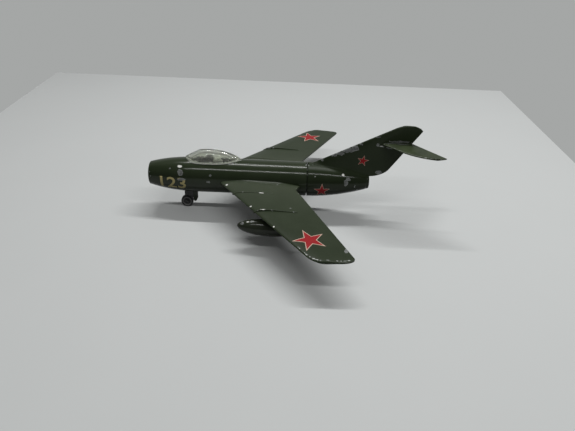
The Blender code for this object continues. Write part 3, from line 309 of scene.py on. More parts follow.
def laying_tree() -> NodeTree:
    """Tree that lays a flat figure on a target's skin as a thin closed coat of paint.

    Returns:
        The finished tree.
    """
    inputs = [("Target", "Object"), ("Centre", "Vector"), ("Across", "Vector"), ("Up", "Vector")]
    inputs += [("Detail", "Int"), ("Sunk", "Float"), ("Proud", "Float"), ("Finish", "Material")]
    tree = Tree("laid_figure", inputs)
    fine = tree.node("SubdivideMesh", tree.given("Geometry"), tree.given("Detail")).outputs[0]
    flat = tree.node("ShaderNodeSeparateXYZ", tree.node("InputPosition").outputs[0]).outputs
    across = tree.vector("SCALE", tree.given("Across"), flat[0])
    up = tree.vector("SCALE", tree.given("Up"), flat[1])
    start = tree.vector("ADD", tree.given("Centre"), tree.vector("ADD", across, up))
    towards = tree.vector("CROSS_PRODUCT", tree.given("Up"), tree.given("Across"))
    skin = tree.node("ObjectInfo", tree.given("Target"), transform_space="RELATIVE").outputs["Geometry"]
    ray = tree.node("Raycast", skin, None, start, towards, RAY_REACH).outputs
    sunk = tree.vector("SCALE", ray["Hit Normal"], tree.math("MULTIPLY", tree.given("Sunk"), -1.0))
    base = tree.node("SetPosition", fine, None, tree.vector("ADD", ray["Hit Position"], sunk)).outputs[0]
    height = tree.math("ADD", tree.given("Sunk"), tree.given("Proud"))
    raised = tree.node("ExtrudeMesh", base, None, None, height, False, mode="FACES").outputs[0]
    both = tree.node("JoinGeometry", raised)
    tree.feed(both.inputs[0], tree.node("FlipFaces", base).outputs[0])
    return tree.finish(tree.node("MergeByDistance", both.outputs[0], None, WELD).outputs[0])


def placed(name: str, mesh: bpy.types.Mesh) -> Item:
    """Puts a mesh into the scene as an object at the origin.

    Args:
        name: Name of the object.
        mesh: Its mesh.

    Returns:
        The object.
    """
    item = bpy.data.objects.new(name, mesh)
    bpy.context.scene.collection.objects.link(item)
    return item


def drop(item: Item) -> None:
    """Removes a helper object and its mesh.

    Args:
        item: The helper.
    """
    mesh = item.data
    bpy.data.objects.remove(item, do_unlink=True)
    if mesh.users == 0:
        bpy.data.meshes.remove(mesh)


def solid(name: str, bm: bmesh.types.BMesh) -> Item:
    """Makes an object from a bmesh, with doubles merged and faces pointing out.

    Args:
        name: Name of the object.
        bm: The bmesh, which is freed.

    Returns:
        The object.
    """
    bmesh.ops.remove_doubles(bm, verts=bm.verts, dist=WELD)
    bmesh.ops.recalc_face_normals(bm, faces=bm.faces)
    mesh = bpy.data.meshes.new(name)
    bm.to_mesh(mesh)
    bm.free()
    return placed(name, mesh)


def settle(item: Item) -> Item:
    """Turns an object with live modifiers into a plain mesh object.

    Args:
        item: The object.

    Returns:
        The same object.
    """
    bpy.context.view_layer.update()
    shaped = item.evaluated_get(bpy.context.evaluated_depsgraph_get())
    mesh = bpy.data.meshes.new_from_object(shaped)
    old = item.data
    item.modifiers.clear()
    item.data = mesh
    mesh.name = item.name
    if old.users == 0:
        bpy.data.meshes.remove(old)
    return item


def drive(item: Item, tree: NodeTree, **values: object) -> None:
    """Adds a node tree to an object and sets its named inputs.

    Args:
        item: Object that takes the modifier.
        tree: The node tree.
        values: Value of each input, under its name in lower case.
    """
    modifier = item.modifiers.new(tree.name, "NODES")
    modifier.node_group = tree
    for socket in tree.interface.items_tree:
        label = socket.name.lower()
        if socket.in_out == "INPUT" and label in values:
            modifier[socket.identifier] = values[label]


def turned(
    name: str, profile: Profile, origin: Point, axis: Axis = Axis.X, steps: int = 64
) -> Item:
    """Turns a profile about an axis with the turning tree.

    Args:
        name: Name of the new object.
        profile: Points (radius, place along the axis) in order; a ring repeats its first point.
        origin: Where the profile's zero lies.
        axis: Line that it is turned about.
        steps: Facets round the axis.

    Returns:
        The closed solid.
    """
    mesh = bpy.data.meshes.new(name)
    edges = [(k, k + 1) for k in range(len(profile) - 1)]
    mesh.from_pydata([(radius, 0.0, along) for radius, along in profile], edges, [])
    item = placed(name, mesh)
    drive(item, turning_tree(), steps=steps)
    settle(item)
    bm = bmesh.new()
    bm.from_mesh(item.data)
    rotation = Matrix.Rotation(axis.value[0], 4, "X") @ Matrix.Rotation(axis.value[1], 4, "Y")
    bm.transform(Matrix.Translation(origin) @ rotation)
    drop(item)
    return solid(name, bm)


def loft(name: str, rings: Sequence[Sequence[Point]]) -> Item:
    """Skins a row of closed rings and caps both ends.

    Args:
        name: Name of the new object.
        rings: The rings, each with the same count of points.

    Returns:
        The closed solid.
    """
    bm = bmesh.new()
    rows = [[bm.verts.new(point) for point in ring] for ring in rings]
    for row, after in zip(rows, rows[1:]):
        for k, vert in enumerate(row):
            following = (k + 1) % len(row)
            bm.faces.new((vert, row[following], after[following], after[k]))
    bm.faces.new(rows[0])
    bm.faces.new(rows[-1])
    return solid(name, bm)


def prism(
    name: str, outline: Profile, low: float, high: float, upright: bool = False
) -> Item:
    """Extrudes a flat outline.

    Args:
        name: Name of the new object.
        outline: Points in X and Y, or in X and Z when upright.
        low: Where the extrusion starts, in Z or Y.
        high: Where it ends.
        upright: Whether the outline stands in X and Z.

    Returns:
        The closed solid.
    """
    bm = bmesh.new()
    ends = []
    for level in (low, high):
        points = [(a, level, b) if upright else (a, b, level) for a, b in outline]
        ends.append([bm.verts.new(point) for point in points])
        bm.faces.new(ends[-1])
    for k in range(len(outline)):
        after = (k + 1) % len(outline)
        bm.faces.new((ends[0][k], ends[0][after], ends[1][after], ends[1][k]))
    return solid(name, bm)


def rod(name: str, radius: float, start: Point, end: Point, steps: int = 32) -> Item:
    """Makes a round rod between two points.

    Args:
        name: Name of the new object.
        radius: Its radius.
        start: Middle of one end.
        end: Middle of the other.
        steps: Facets round it.

    Returns:
        The closed solid.
    """
    span = Vector(end) - Vector(start)
    bm = bmesh.new()
    bmesh.ops.create_cone(
        bm, cap_ends=True, segments=steps, radius1=radius, radius2=radius, depth=span.length
    )
    turn = span.to_track_quat("Z", "Y").to_matrix().to_4x4()
    bm.transform(Matrix.Translation((Vector(start) + Vector(end)) / 2) @ turn)
    return solid(name, bm)


def combine(item: Item, tool: Item, cut: Cut) -> Item:
    """Joins, removes or keeps a tool's solid on a piece, then drops the tool.

    Args:
        item: The piece.
        tool: The other solid.
        cut: What the tool does.

    Returns:
        The piece.
    """
    modifier = item.modifiers.new(tool.name, "BOOLEAN")
    modifier.operation = cut.value
    modifier.object = tool
    modifier.solver = "MANIFOLD"
    settle(item)
    drop(tool)
    return item


def rounded(item: Item, width: float, segments: int = 3) -> Item:
    """Rounds the sharp edges of a solid with plain faces.

    Args:
        item: The solid.
        width: How far the rounding reaches.
        segments: Facets across it.

    Returns:
        The solid.
    """
    bevel = item.modifiers.new("rounded", "BEVEL")
    bevel.width = width
    bevel.segments = segments
    bevel.limit_method = "ANGLE"
    bevel.angle_limit = SMOOTH_ANGLE
    return settle(item)


def moulded(name: str, node: Item, grain: float, rounds: int) -> Item:
    """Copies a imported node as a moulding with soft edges.

    Args:
        name: Name of the new piece.
        node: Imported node, which is left as it is.
        grain: Size of the mesh's cells.
        rounds: How often the edges are eased.

    Returns:
        The new piece.
    """
    bm = bmesh.new()
    bm.from_mesh(node.data)
    item = solid(name, bm)
    remesh = item.modifiers.new("grain", "REMESH")
    remesh.mode = "VOXEL"
    remesh.voxel_size = grain
    ease = item.modifiers.new("ease", "SMOOTH")
    ease.factor = 0.5
    ease.iterations = rounds
    return settle(item)


def mark(item: Item, **rules: Callable[[Array], Array]) -> None:
    """Stores values on every point of a mesh.

    Args:
        item: Piece that takes the attributes.
        rules: For each attribute's name, what gives its values from the points' places.
    """
    places = np.zeros(len(item.data.vertices) * 3, np.float32)
    item.data.vertices.foreach_get("co", places)
    for label, rule in rules.items():
        values = rule(places.reshape(-1, 3).astype(float)).astype(np.float32)
        item.data.attributes.new(label, "FLOAT", "POINT").data.foreach_set("value", values)


def hand_over(
    item: Item,
    finish: Finish,
    slot: str,
    *nodes: str,
    body: Body = Body.AIRFRAME,
    smooth: bool = True,
) -> None:
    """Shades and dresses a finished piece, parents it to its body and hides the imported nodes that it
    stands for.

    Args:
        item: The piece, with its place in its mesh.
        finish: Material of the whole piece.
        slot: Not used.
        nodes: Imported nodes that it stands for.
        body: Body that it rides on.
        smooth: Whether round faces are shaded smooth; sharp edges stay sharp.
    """
    if smooth:
        item.data.shade_smooth()
        item.data.set_sharp_from_angle(angle=SMOOTH_ANGLE)
    item.data.materials.clear()
    item.data.materials.append(finish)
    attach(item, body.value)
    if nodes:
        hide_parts(*nodes)
    LOG.info("%s: %d faces on %s", item.name, len(item.data.polygons), body.value)


class Graph(Network):
    """A material's nodes under construction."""

    def __init__(self, name: str) -> None:
        """Makes a material with a plain Principled shader and Object coordinates.

        Args:
            name: Name of the material.
        """
        self.material = bpy.data.materials.new(name)
        self.material.use_nodes = True
        super().__init__(self.material.node_tree)
        self.shader = self.tree.nodes["Principled BSDF"]
        self.where = self.node("TexCoord").outputs["Object"]

    def plain(self, **values: object) -> None:
        """Sets the shader's own sockets, named with underscores for spaces."""
        for label, value in values.items():
            self.feed(self.shader.inputs[label.replace("_", " ")], value)

    def attribute(self, label: str) -> Socket:
        """Value that the mesh stores under a label."""
        return self.node("Attribute", attribute_name=label).outputs["Fac"]

    def noise(self, grain: float, detail: float = 2.0, output: str = "Fac") -> Socket:
        """Adds noise on the object's own coordinates.

        Args:
            grain: Size of its patches, in metres.
            detail: How many finer layers it has.
            output: Fac or Color.

        Returns:
            The value from 0 to 1, or the colour.
        """
        made = self.node("TexNoise", self.where)
        made.inputs["Scale"].default_value = 1.0 / grain
        made.inputs["Detail"].default_value = detail
        return made.outputs[output]

    def step(self, value: object, low: float, high: float) -> Socket:
        """Smooth step from 0 at low to 1 at high; low may lie above high."""
        ends = (1.0, 0.0) if low > high else (0.0, 1.0)
        return self.result("MapRange", value, *sorted((low, high)), *ends, interpolation_type="SMOOTHSTEP")

    def span(self, value: object, low: float, high: float) -> Socket:
        """Carries a value from 0..1 to low..high."""
        return self.result("MapRange", value, 0.0, 1.0, low, high)

    def mix(self, share: object, first: object, second: object) -> Socket:
        """Mixes two colours by a share that changes over the surface."""
        ends = [(*end, 1.0) if isinstance(end, tuple) else end for end in (first, second)]
        return self.result("Mix", share, *ends, data_type="RGBA")

    def blend(self, share: object, first: object, second: object) -> Socket:
        """Mixes two numbers by a share that changes over the surface."""
        return self.result("Mix", share, first, second, data_type="FLOAT")

    def bump(self, height: object, depth: float, strength: float) -> None:
        """Feeds a height from 0 to 1 to the shader's normal.

        Args:
            height: The height.
            depth: What a height of 1 comes to, in metres.
            strength: Share of the bump that shows.
        """
        made = self.node("Bump")
        for label, value in (("Strength", strength), ("Distance", depth), ("Height", height)):
            self.feed(made.inputs[label], value)
        self.plain(Normal=made.outputs["Normal"])


@dataclass(frozen=True)
class Chip:
    """One place where the paint has come off: its middle and half sizes, in millimetres."""

    centre: Point
    reach: Point


def chip_reach(graph: Graph, chips: Sequence[Chip], ragged: float = 0.55) -> Socket:
    """How far a point lies from the nearest of a set of chips with ragged edges.

    Args:
        graph: Material under construction.
        chips: The chips.
        ragged: How far noise moves their edges, in millimetres.

    Returns:
        A value below 1 in a chip and above 1 on paint.
    """
    moved: object = graph.where
    for grain, size in ((1.1 * MM, 2.0 * ragged * MM), (0.35 * MM, 0.6 * ragged * MM)):
        colour = graph.noise(grain, 2.0, output="Color")
        centred = graph.vector("SUBTRACT", colour, (0.5, 0.5, 0.5))
        moved = graph.vector("MULTIPLY_ADD", centred, (size, size, size), moved)
    nearest: object = 9.0
    for chip in chips:
        scale = tuple(1.0 / (size * MM) for size in chip.reach)
        offset = tuple(-place * MM * share for place, share in zip(chip.centre, scale))
        local = graph.vector("MULTIPLY_ADD", moved, scale, offset)
        nearest = graph.math("MINIMUM", graph.vector("LENGTH", local), nearest)
    return nearest


@dataclass(frozen=True)
class Enamel:
    """Sprayed green enamel on a zinc casting, with grey chips, bright chips, rubbed edges and specks.

    Tone is the lightness, and sheen the specular level, of glossy and of dull paint: the darker lightness of
    the glossy body sides is painted shade, and the lighter one of the back and wings a painted highlight. A
    paler colour is mixed in on the dusty wing roots and, as a painted highlight, along the back.
    """

    name: str
    bare: tuple[Chip, ...] = ()
    bright: tuple[Chip, ...] = ()
    colour: Colour = (0.026, 0.036, 0.018)
    shade: Colour = (0.020, 0.029, 0.013)
    edge_wear: float = 0.5
    specks: float = 0.005
    tone: Pair = (0.84, 1.00)
    sheen: Pair = (0.24, 0.17)

    DUST = (0.066, 0.078, 0.053)
    METAL = (0.22, 0.23, 0.225)
    TARNISH = (0.12, 0.125, 0.12)
    RIM = (0.27, 0.28, 0.27)
    RUBBED = (0.42, 0.43, 0.41)
    BRIGHT = (0.70, 0.70, 0.67)
    DUSTY = 0.50
    SPECK_CELL = 2.2 * MM
    SPECK_SIZES = (0.04, 0.10)

    def build(self) -> Finish:
        """Makes the material.

        Returns:
            The finished material.
        """
        graph = Graph(self.name)
        patches = graph.math("MULTIPLY_ADD", graph.noise(0.45 * MM), 0.5, graph.noise(7.0 * MM, 3.0))
        matte = graph.attribute("matte")
        patchy = graph.mix(graph.step(patches, 0.5, 1.0), self.shade, self.colour)
        # Painted shade and highlight: the colour is scaled darker where the paint is glossy, on the body's
        # sides, and lighter on the back and wings.
        painted_shade_colour = graph.vector("SCALE", patchy, graph.span(matte, *self.tone))
        # Dusty wing roots, and a painted highlight that pales the body's back as if lit from above.
        dusty = graph.math("MULTIPLY", graph.attribute("dust"), self.DUSTY)
        surface = graph.mix(dusty, painted_shade_colour, self.DUST)
        grain = graph.step(graph.noise(0.6 * MM, 4.0), 0.38, 0.66)
        bare = self.rubbed(graph)
        surface = graph.mix(bare, surface, graph.mix(grain, self.METAL, self.RUBBED))
        if self.bare:
            reach = chip_reach(graph, self.bare)
            chipped = graph.step(reach, *CHIP_EDGE)
            metal = graph.mix(grain, self.TARNISH, self.METAL)
            metal = graph.mix(graph.step(reach, 0.82, 0.97), metal, self.RIM)
            surface = graph.mix(chipped, surface, metal)
            bare = graph.math("MAXIMUM", bare, chipped)
        bright = self.speckled(graph)
        if self.bright:
            near = graph.step(chip_reach(graph, self.bright, 0.22), 1.1, 0.8)
            bright = graph.math("MAXIMUM", bright, near)
        surface = graph.mix(bright, surface, self.BRIGHT)
        either = graph.math("MAXIMUM", bare, bright)
        gloss = graph.span(graph.noise(1.6 * MM, 3.0), 0.11, 0.18)
        gloss = graph.math("MULTIPLY_ADD", matte, 0.22, gloss)
        graph.plain(
            Base_Color=surface,
            Metallic=graph.math("MULTIPLY", bare, 0.5),
            Roughness=graph.blend(either, gloss, 0.5),
            Specular_IOR_Level=graph.span(matte, *self.sheen),
        )
        skin = graph.math("MULTIPLY", graph.noise(0.75 * MM), 0.10)
        graph.bump(graph.math("SUBTRACT", skin, either), 0.03 * MM, 0.5)
        return graph.material

    def rubbed(self, graph: Graph) -> Socket:
        """Bare metal along the edges marked by the wear attribute.

        Args:
            graph: Material under construction.

        Returns:
            Share of bare metal.
        """
        wear = graph.attribute("wear")
        uneven = graph.math("SUBTRACT", graph.noise(1.0 * MM, 4.0), 0.5)
        level = graph.math("MULTIPLY_ADD", uneven, 1.9, wear)
        low = 1.22 - 0.6 * self.edge_wear
        return graph.step(level, low, low + 0.10)

    def speckled(self, graph: Graph) -> Socket:
        """Tiny bright specks scattered over the paint.

        Args:
            graph: Material under construction.

        Returns:
            Share of bright metal.
        """
        cells = graph.node("TexVoronoi", graph.where)
        cells.inputs["Scale"].default_value = 1.0 / self.SPECK_CELL
        draw = graph.node("SeparateColor", cells.outputs["Color"])
        chosen = graph.step(draw.outputs[0], 1.0 - self.specks, 1.0 - self.specks + 0.002)
        size = graph.span(draw.outputs[1], *self.SPECK_SIZES)
        inside = graph.math("LESS_THAN", cells.outputs["Distance"], size)
        return graph.math("MULTIPLY", chosen, inside)


@dataclass(frozen=True)
class ClearPlastic:
    """Clear moulded plastic with faint scratches, haze, walls darkened at grazing angles and a frost at the
    foot; the dark edges are partly the walls' tint and partly painted shade from refraction, and the foot's
    pale colour is partly frost and partly a painted highlight of light carried to the edges.
    """

    name: str = "clear_plastic"
    hazy: Colour = (0.80, 0.84, 0.72)
    clean: Colour = (0.94, 0.95, 0.89)
    deep: Colour = (0.26, 0.28, 0.25)
    frosted: Colour = (0.84, 0.86, 0.79)

    def build(self) -> Finish:
        """Makes the material.

        Returns:
            The finished material.
        """
        graph = Graph(self.name)
        haze = graph.noise(1.2 * MM, 4.0)
        rim = graph.attribute("rim")
        uneven = graph.math("SUBTRACT", graph.noise(0.9 * MM, 3.0), 0.5)
        # The frost at the foot is rough and cloudy, and its pale colour is also a painted highlight of light
        # carried down to the dome's foot.
        frost = graph.step(graph.math("MULTIPLY_ADD", uneven, 1.8, rim), 0.42, 0.66)
        clear = graph.mix(haze, self.hazy, self.clean)
        # Painted shade: the colour darkens towards grazing angles, partly the thick walls' tint and partly
        # the dark rim that refraction gives.
        facing = graph.node("LayerWeight").outputs["Facing"]
        clear = graph.mix(graph.step(facing, 0.15, 0.65), clear, self.deep)
        graph.plain(
            Base_Color=graph.mix(frost, clear, self.frosted),
            Roughness=graph.blend(frost, graph.span(haze, 0.0, 0.08), 0.45),
            IOR=1.49,
            Transmission_Weight=graph.span(frost, 0.9, 0.15),
        )
        graph.bump(graph.noise(1.1 * MM), 0.11 * MM, 0.6)
        return graph.material


@dataclass(frozen=True)
class Moulding:
    """Opaque moulded plastic or rubber with a fine grain, dusty patches, a range of roughness, and a paler
    colour where the worn attribute is set, which on the hubs is a painted highlight ring.
    """

    name: str
    colour: Colour
    dust: Colour
    gloss: Pair = (0.35, 0.55)
    dusty: float = 0.35

    def build(self) -> Finish:
        """Makes the material.

        Returns:
            The finished material.
        """
        graph = Graph(self.name)
        cover = graph.math("MULTIPLY", graph.step(graph.noise(0.8 * MM, 4.0), 0.42, 0.75), self.dusty)
        # On the hubs the worn attribute marks a painted highlight on the rim face, not wear.
        cover = graph.math("MAXIMUM", cover, graph.attribute("worn"))
        graph.plain(
            Base_Color=graph.mix(cover, self.colour, self.dust),
            Roughness=graph.span(graph.noise(0.5 * MM, 3.0), *self.gloss),
        )
        graph.bump(graph.noise(0.25 * MM, 3.0), 0.012 * MM, 0.5)
        return graph.material


@dataclass(frozen=True)
class BareMetal:
    """Unpainted zinc or steel with a dull, patchy skin."""

    name: str
    colour: Colour
    tarnish: Colour

    def build(self) -> Finish:
        """Makes the material.

        Returns:
            The finished material.
        """
        graph = Graph(self.name)
        patches = graph.noise(1.4 * MM, 5.0)
        graph.plain(
            Base_Color=graph.mix(graph.step(patches, 0.35, 0.65), self.tarnish, self.colour),
            Metallic=1.0,
            Roughness=graph.span(patches, 0.5, 0.3),
        )
        graph.bump(graph.noise(0.3 * MM, 4.0), 0.015 * MM, 0.5)
        return graph.material


@dataclass(frozen=True)
class MarkingPaint:
    """Printed marking, faded where it is thin and worn through where a chip goes."""

    name: str
    colour: Colour
    faded: Colour
    worn: tuple[Chip, ...] = ()
    METAL = (0.20, 0.205, 0.20)

    def build(self) -> Finish:
        """Makes the material.

        Returns:
            The finished material.
        """
        graph = Graph(self.name)
        thin = graph.step(graph.noise(0.9 * MM, 4.0), 0.52, 0.8)
        surface = graph.mix(thin, self.colour, self.faded)
        if self.worn:
            worn = graph.step(chip_reach(graph, self.worn), *CHIP_EDGE)
            surface = graph.mix(worn, surface, self.METAL)
        graph.plain(
            Base_Color=surface,
            Roughness=graph.span(graph.noise(0.7 * MM, 3.0), 0.32, 0.5),
            Specular_IOR_Level=0.18,
        )
        graph.bump(graph.noise(0.35 * MM, 3.0), 0.01 * MM, 0.5)
        return graph.material


@dataclass(frozen=True)
class BodyForm:
    """Turned outline of the fuselage, which both castings share."""

    half_length: float
    axis_height: float = 14.0 * MM
    radius: float = 6.6 * MM
    nose_radius: float = 4.3 * MM
    taper: float = 20.0 * MM
    taper_power: float = 2.5
    seam: float = 59.0 * MM
    seam_radius: float = 6.45 * MM
    seam_gap: float = 0.35 * MM
    seam_round: float = 0.12 * MM
    notch_radius: float = 0.55 * MM
    notch_depth: float = 0.9 * MM
    nozzle: float = 82.6 * MM
    nozzle_radius: float = 2.6 * MM
    tail_power: float = 1.95
    lip: float = 0.38 * MM
    spigot_radius: float = 4.6 * MM
    spigot_length: float = 6.5 * MM
    back_ramp: Pair = (0.78, 0.12)
    nose_rings: int = 30
    middle_rings: int = 16
    facets: int = 128

    @property
    def origin(self) -> Point:
        """Where station zero lies on the axis."""
        return (-self.half_length, 0.0, self.axis_height)

    def x(self, station: float) -> float:
        """World X of a station."""
        return station - self.half_length

    def at(self, station: float) -> float:
        """Radius of the body at a station.

        Args:
            station: The station.

        Returns:
            The radius.
        """
        if station < self.taper:
            share = 1.0 - station / self.taper
            return self.radius - (self.radius - self.nose_radius) * share**self.taper_power
        if station <= self.seam:
            share = (station - self.taper) / (self.seam - self.taper)
            return self.radius + (self.seam_radius - self.radius) * share
        share = min(1.0, (station - self.seam) / (self.nozzle - self.seam))
        return self.seam_radius - (self.seam_radius - self.nozzle_radius) * share**self.tail_power

    def front_outside(self) -> Profile:
        """Points down the outside of the front body, from the seam's face to the nose lip.

        Returns:
            Points (radius, station).
        """
        points = [(0.0, self.seam)]
        for turn in spread(pi / 2, 0.0, 6):
            back = self.seam_round * (1.0 - sin(turn))
            points.append((self.seam_radius - self.seam_round * (1.0 - cos(turn)), self.seam - back))
        stations = spread(self.seam - 2 * self.seam_round, self.taper, self.middle_rings)
        for step in spread(1.0, 0.0, self.nose_rings)[1:]:
            stations.append(self.lip + (self.taper - self.lip) * step**1.4)
        return points + [(self.at(station), station) for station in stations]

    def notch(self) -> Item:
        """Tool for the small round notch on top of the seam."""
        x = self.x(self.seam + self.seam_gap / 2)
        low = self.axis_height + self.seam_radius - self.notch_depth
        return rod("notch", self.notch_radius, (x, 0.0, low), (x, 0.0, low + 3 * self.notch_depth))

    def clear(self, places: Array) -> Array:
        """How far each point stands off the body's skin."""
        skin = np.array([self.at(x + self.half_length) for x in places[:, 0]])
        return np.hypot(places[:, 1], places[:, 2] - self.axis_height) - skin

    def back(self, places: Array, most: float) -> Array:
        """A value that grows from 0 on the body's sides to its most along the back.

        Args:
            places: Points of the mesh.
            most: The value along the back.

        Returns:
            A value for each point.
        """
        rise = places[:, 2] - self.axis_height
        share = rise / np.maximum(np.hypot(places[:, 1], rise), MM)
        start, run = self.back_ramp
        return most * np.clip((share - start) / run, 0.0, 1.0)

    def fillet(self, distance: float, offset: float, station: float, radius: float) -> float:
        """Height that a root fillet adds to a blade's surface.

        Args:
            distance: Distance out from the body's axis.
            offset: Height of the surface over the axis.
            station: Station, which gives the body's radius.
            radius: Radius of the fillet.

        Returns:
            The added height.
        """
        body = self.at(station)
        reach = body + radius
        centre = sqrt(max(0.0, reach**2 - (offset + radius) ** 2))
        lateral = centre - max(distance, centre * body / reach)
        if lateral <= 0.0:
            return 0.0
        return radius - sqrt(max(0.0, radius**2 - lateral**2))


@dataclass(frozen=True)
class BladeForm:
    """Section that wings, fin and tailplane share: round in front, blunt behind."""

    crest: float = 0.3
    edge: float = 0.4
    steps: int = 30
    corner: float = 0.45

    def form(self, share: float) -> float:
        """Share of the half thickness.

        Args:
            share: Share of the chord.

        Returns:
            The share of the thickness there.
        """
        if share < self.crest:
            return sqrt(1.0 - (1.0 - share / self.crest) ** 2)
        return 1.0 - (1.0 - self.edge) * (share - self.crest) / (1.0 - self.crest)

    def ring(
        self,
        leading: float,
        trailing: float,
        surface: Callable[[float, float, float], float],
        extra: float = 0.0,
    ) -> Profile:
        """Points (station, offset) round a section, with a rounded trailing edge.

        Args:
            leading: Station of the leading edge.
            trailing: Station of the trailing edge.
            surface: Gives a face's offset from share, station and side.
            extra: Lengthens a clearance tool past both edges.

        Returns:
            The closed ring.
        """
        shares = [0.5 - 0.5 * cos(pi * k / self.steps) for k in range(self.steps + 1)]
        stations = [leading + (trailing - leading) * share for share in shares]
        stations[0] -= extra
        faces = []
        for side in (1.0, -1.0):
            face = [(s, surface(share, s, side)) for share, s in zip(shares[:-1], stations)]
            height = surface(1.0, trailing, side)
            ease = min(self.corner * abs(height), (trailing - stations[-2]) * 0.6)
            for turn in spread(0.0, pi / 2, 4):
                back = ease * (1.0 - sin(turn))
                face.append((trailing + extra - back, height - side * ease * (1.0 - cos(turn))))
            faces.append(face)
        return faces[0] + faces[1][:0:-1]


@dataclass
class ForwardCasting:
    """Front fuselage, wings and fences in one casting."""

    body: BodyForm
    blade: BladeForm = field(default_factory=BladeForm)
    half_span: float = 51.1 * MM
    leading: float = 22.2 * MM
    leading_sweep: float = radians(37.1)
    trailing: float = 50.4 * MM
    trailing_sweep: float = radians(25.3)
    rise: float = 0.55 * MM
    anhedral: float = radians(2.1)
    root_thickness: float = 2.4 * MM
    tip_thickness: float = 1.2 * MM
    fillet: float = 2.2 * MM
    fillet_share: float = 0.94
    fillet_ramp: Pair = (0.10, 0.36)
    fillet_upper: float = 0.48
    fillet_droop: Point = (0.6, 1.5, 2.5)
    tip_front: Pair = (2.8 * MM, 0.195)
    tip_rear: Pair = (2.6 * MM, 0.52)
    tip_round: float = 0.35 * MM
    notch: tuple[Pair, ...] = (
        (13.9 * MM, 0.0),
        (10.5 * MM, 55.2 * MM),
        (6.6 * MM, 56.6 * MM),
    )
    fences: tuple[Pair, ...] = ((14.2 * MM, 0.25 * MM), (25.4 * MM, 0.6 * MM))
    fence_length: float = 15.0 * MM
    fence_thickness: float = 0.5 * MM
    fence_nose: float = 0.35 * MM
    fence_taper: float = 0.7
    fence_foot: float = 0.3 * MM
    fence_chin: float = 0.15 * MM
    fence_round: float = 0.13 * MM
    intake_depth: float = 10.0 * MM
    intake_end: float = 3.1 * MM
    splitter: Pair = (0.8 * MM, 1.4 * MM)
    well: tuple[float, float, float] = (17.0 * MM, 30.5 * MM, 2.1 * MM)
    well_floor: float = 2.0 * MM
    belly: tuple[float, float, float] = (20.6 * MM, 47.0 * MM, 3.4 * MM)
    belly_pad: float = 0.35 * MM
    belly_thickness: float = 1.25 * MM
    rivet_margin: float = 4.0 * MM
    post_hole: Pair = (0.8 * MM, 3.0 * MM)
    dull_ramp: Pair = (0.01 * MM, 0.06 * MM)
    dust_ramp: Point = (1.5 * MM, 10.0 * MM, 28.0 * MM)
    wear_width: float = 0.36 * MM
    wear_insets: Pair = (0.55 * MM, 0.75 * MM)
    wear_start: float = 0.78
    front_wear: Pair = (0.48, 0.54)
    rear_wear: Point = (0.40, 0.35, 0.24)
    end_wear: float = 1.02
    fence_wear: Point = (0.62, 0.4, 0.26)
    lip_wear: Point = (0.1 * MM, 0.35 * MM, 0.55)
    seam_wear: Pair = (0.15 * MM, 0.36)

    def front_line(self, out: float) -> float:
        """Station of the straight leading edge."""
        return self.leading + out * tan(self.leading_sweep)

    def rear_line(self, out: float) -> float:
        """Station of the straight trailing edge."""
        return self.trailing + out * tan(self.trailing_sweep)

    def tip_chord(self) -> float:
        """Chord between the straight edges at the tip."""
        return self.rear_line(self.half_span) - self.front_line(self.half_span)

    def leading_at(self, out: float) -> float:
        """Station of the leading edge at a distance out."""
        span, share = self.tip_front
        setback = share * self.tip_chord() * rounding((out - self.half_span + span) / span)
        return self.front_line(out) + setback

    def trailing_at(self, out: float) -> float:
        """Station of the trailing edge, with its notch by the root.

        Args:
            out: Distance out from the middle.

        Returns:
            The station.
        """
        span, share = self.tip_rear
        setback = share * self.tip_chord() * rounding((out - self.half_span + span) / span)
        (corner, _), (vertex, vertex_station), (root, root_station) = self.notch
        if out >= corner:
            return self.rear_line(out) - setback
        if out >= vertex:
            rise = (out - vertex) / (corner - vertex)
            return vertex_station + (self.rear_line(corner) - vertex_station) * rise
        rise = min(1.0, (vertex - out) / (vertex - root))
        return vertex_station + (root_station - vertex_station) * rise

    def height_at(self, out: float) -> float:
        """Height of the wing's middle surface at a distance out."""
        return self.body.axis_height + self.rise - out * tan(self.anhedral)

    def offset(self, share: float, station: float, side: float, out: float, extra: float = 0.0) -> float:
        """Offset of the wing's upper or lower surface from its middle surface.

        Args:
            share: Share of the chord.
            station: Station of the point.
            side: 1 for the upper face, -1 for the lower.
            out: Distance out from the middle.
            extra: Added thickness of a clearance tool.

        Returns:
            The signed offset.
        """
        taper = self.root_thickness + (self.tip_thickness - self.root_thickness) * out / self.half_span
        form = self.blade.form(share)
        half = taper / 2 * form
        end = (out - self.half_span + self.tip_round) / self.tip_round
        half *= 1.0 - 0.7 * rounding(end)
        level = max(0.0, half + side * (self.height_at(out) - self.body.axis_height))
        fillet = self.body.fillet(out, level, station, self.fillet) * self.fillet_share
        if side > 0.0:
            start, run = self.fillet_ramp
            late, droop, power = self.fillet_droop
            grown = min(1.0, max(0.0, (share - start) / run))
            fillet *= (
                self.fillet_upper * grown**2 * (3.0 - 2.0 * grown)
                - droop * max(0.0, (share - late) / (1.0 - late)) ** power
            )
        return side * (half + extra + fillet * min(1.0, form / self.blade.edge))

    def surface(self, station: float, out: float, side: float) -> float:
        """Height of the wing's upper or lower surface at a point."""
        share = (station - self.leading_at(out)) / (self.trailing_at(out) - self.leading_at(out))
        return self.height_at(out) + self.offset(share, station, side, out)

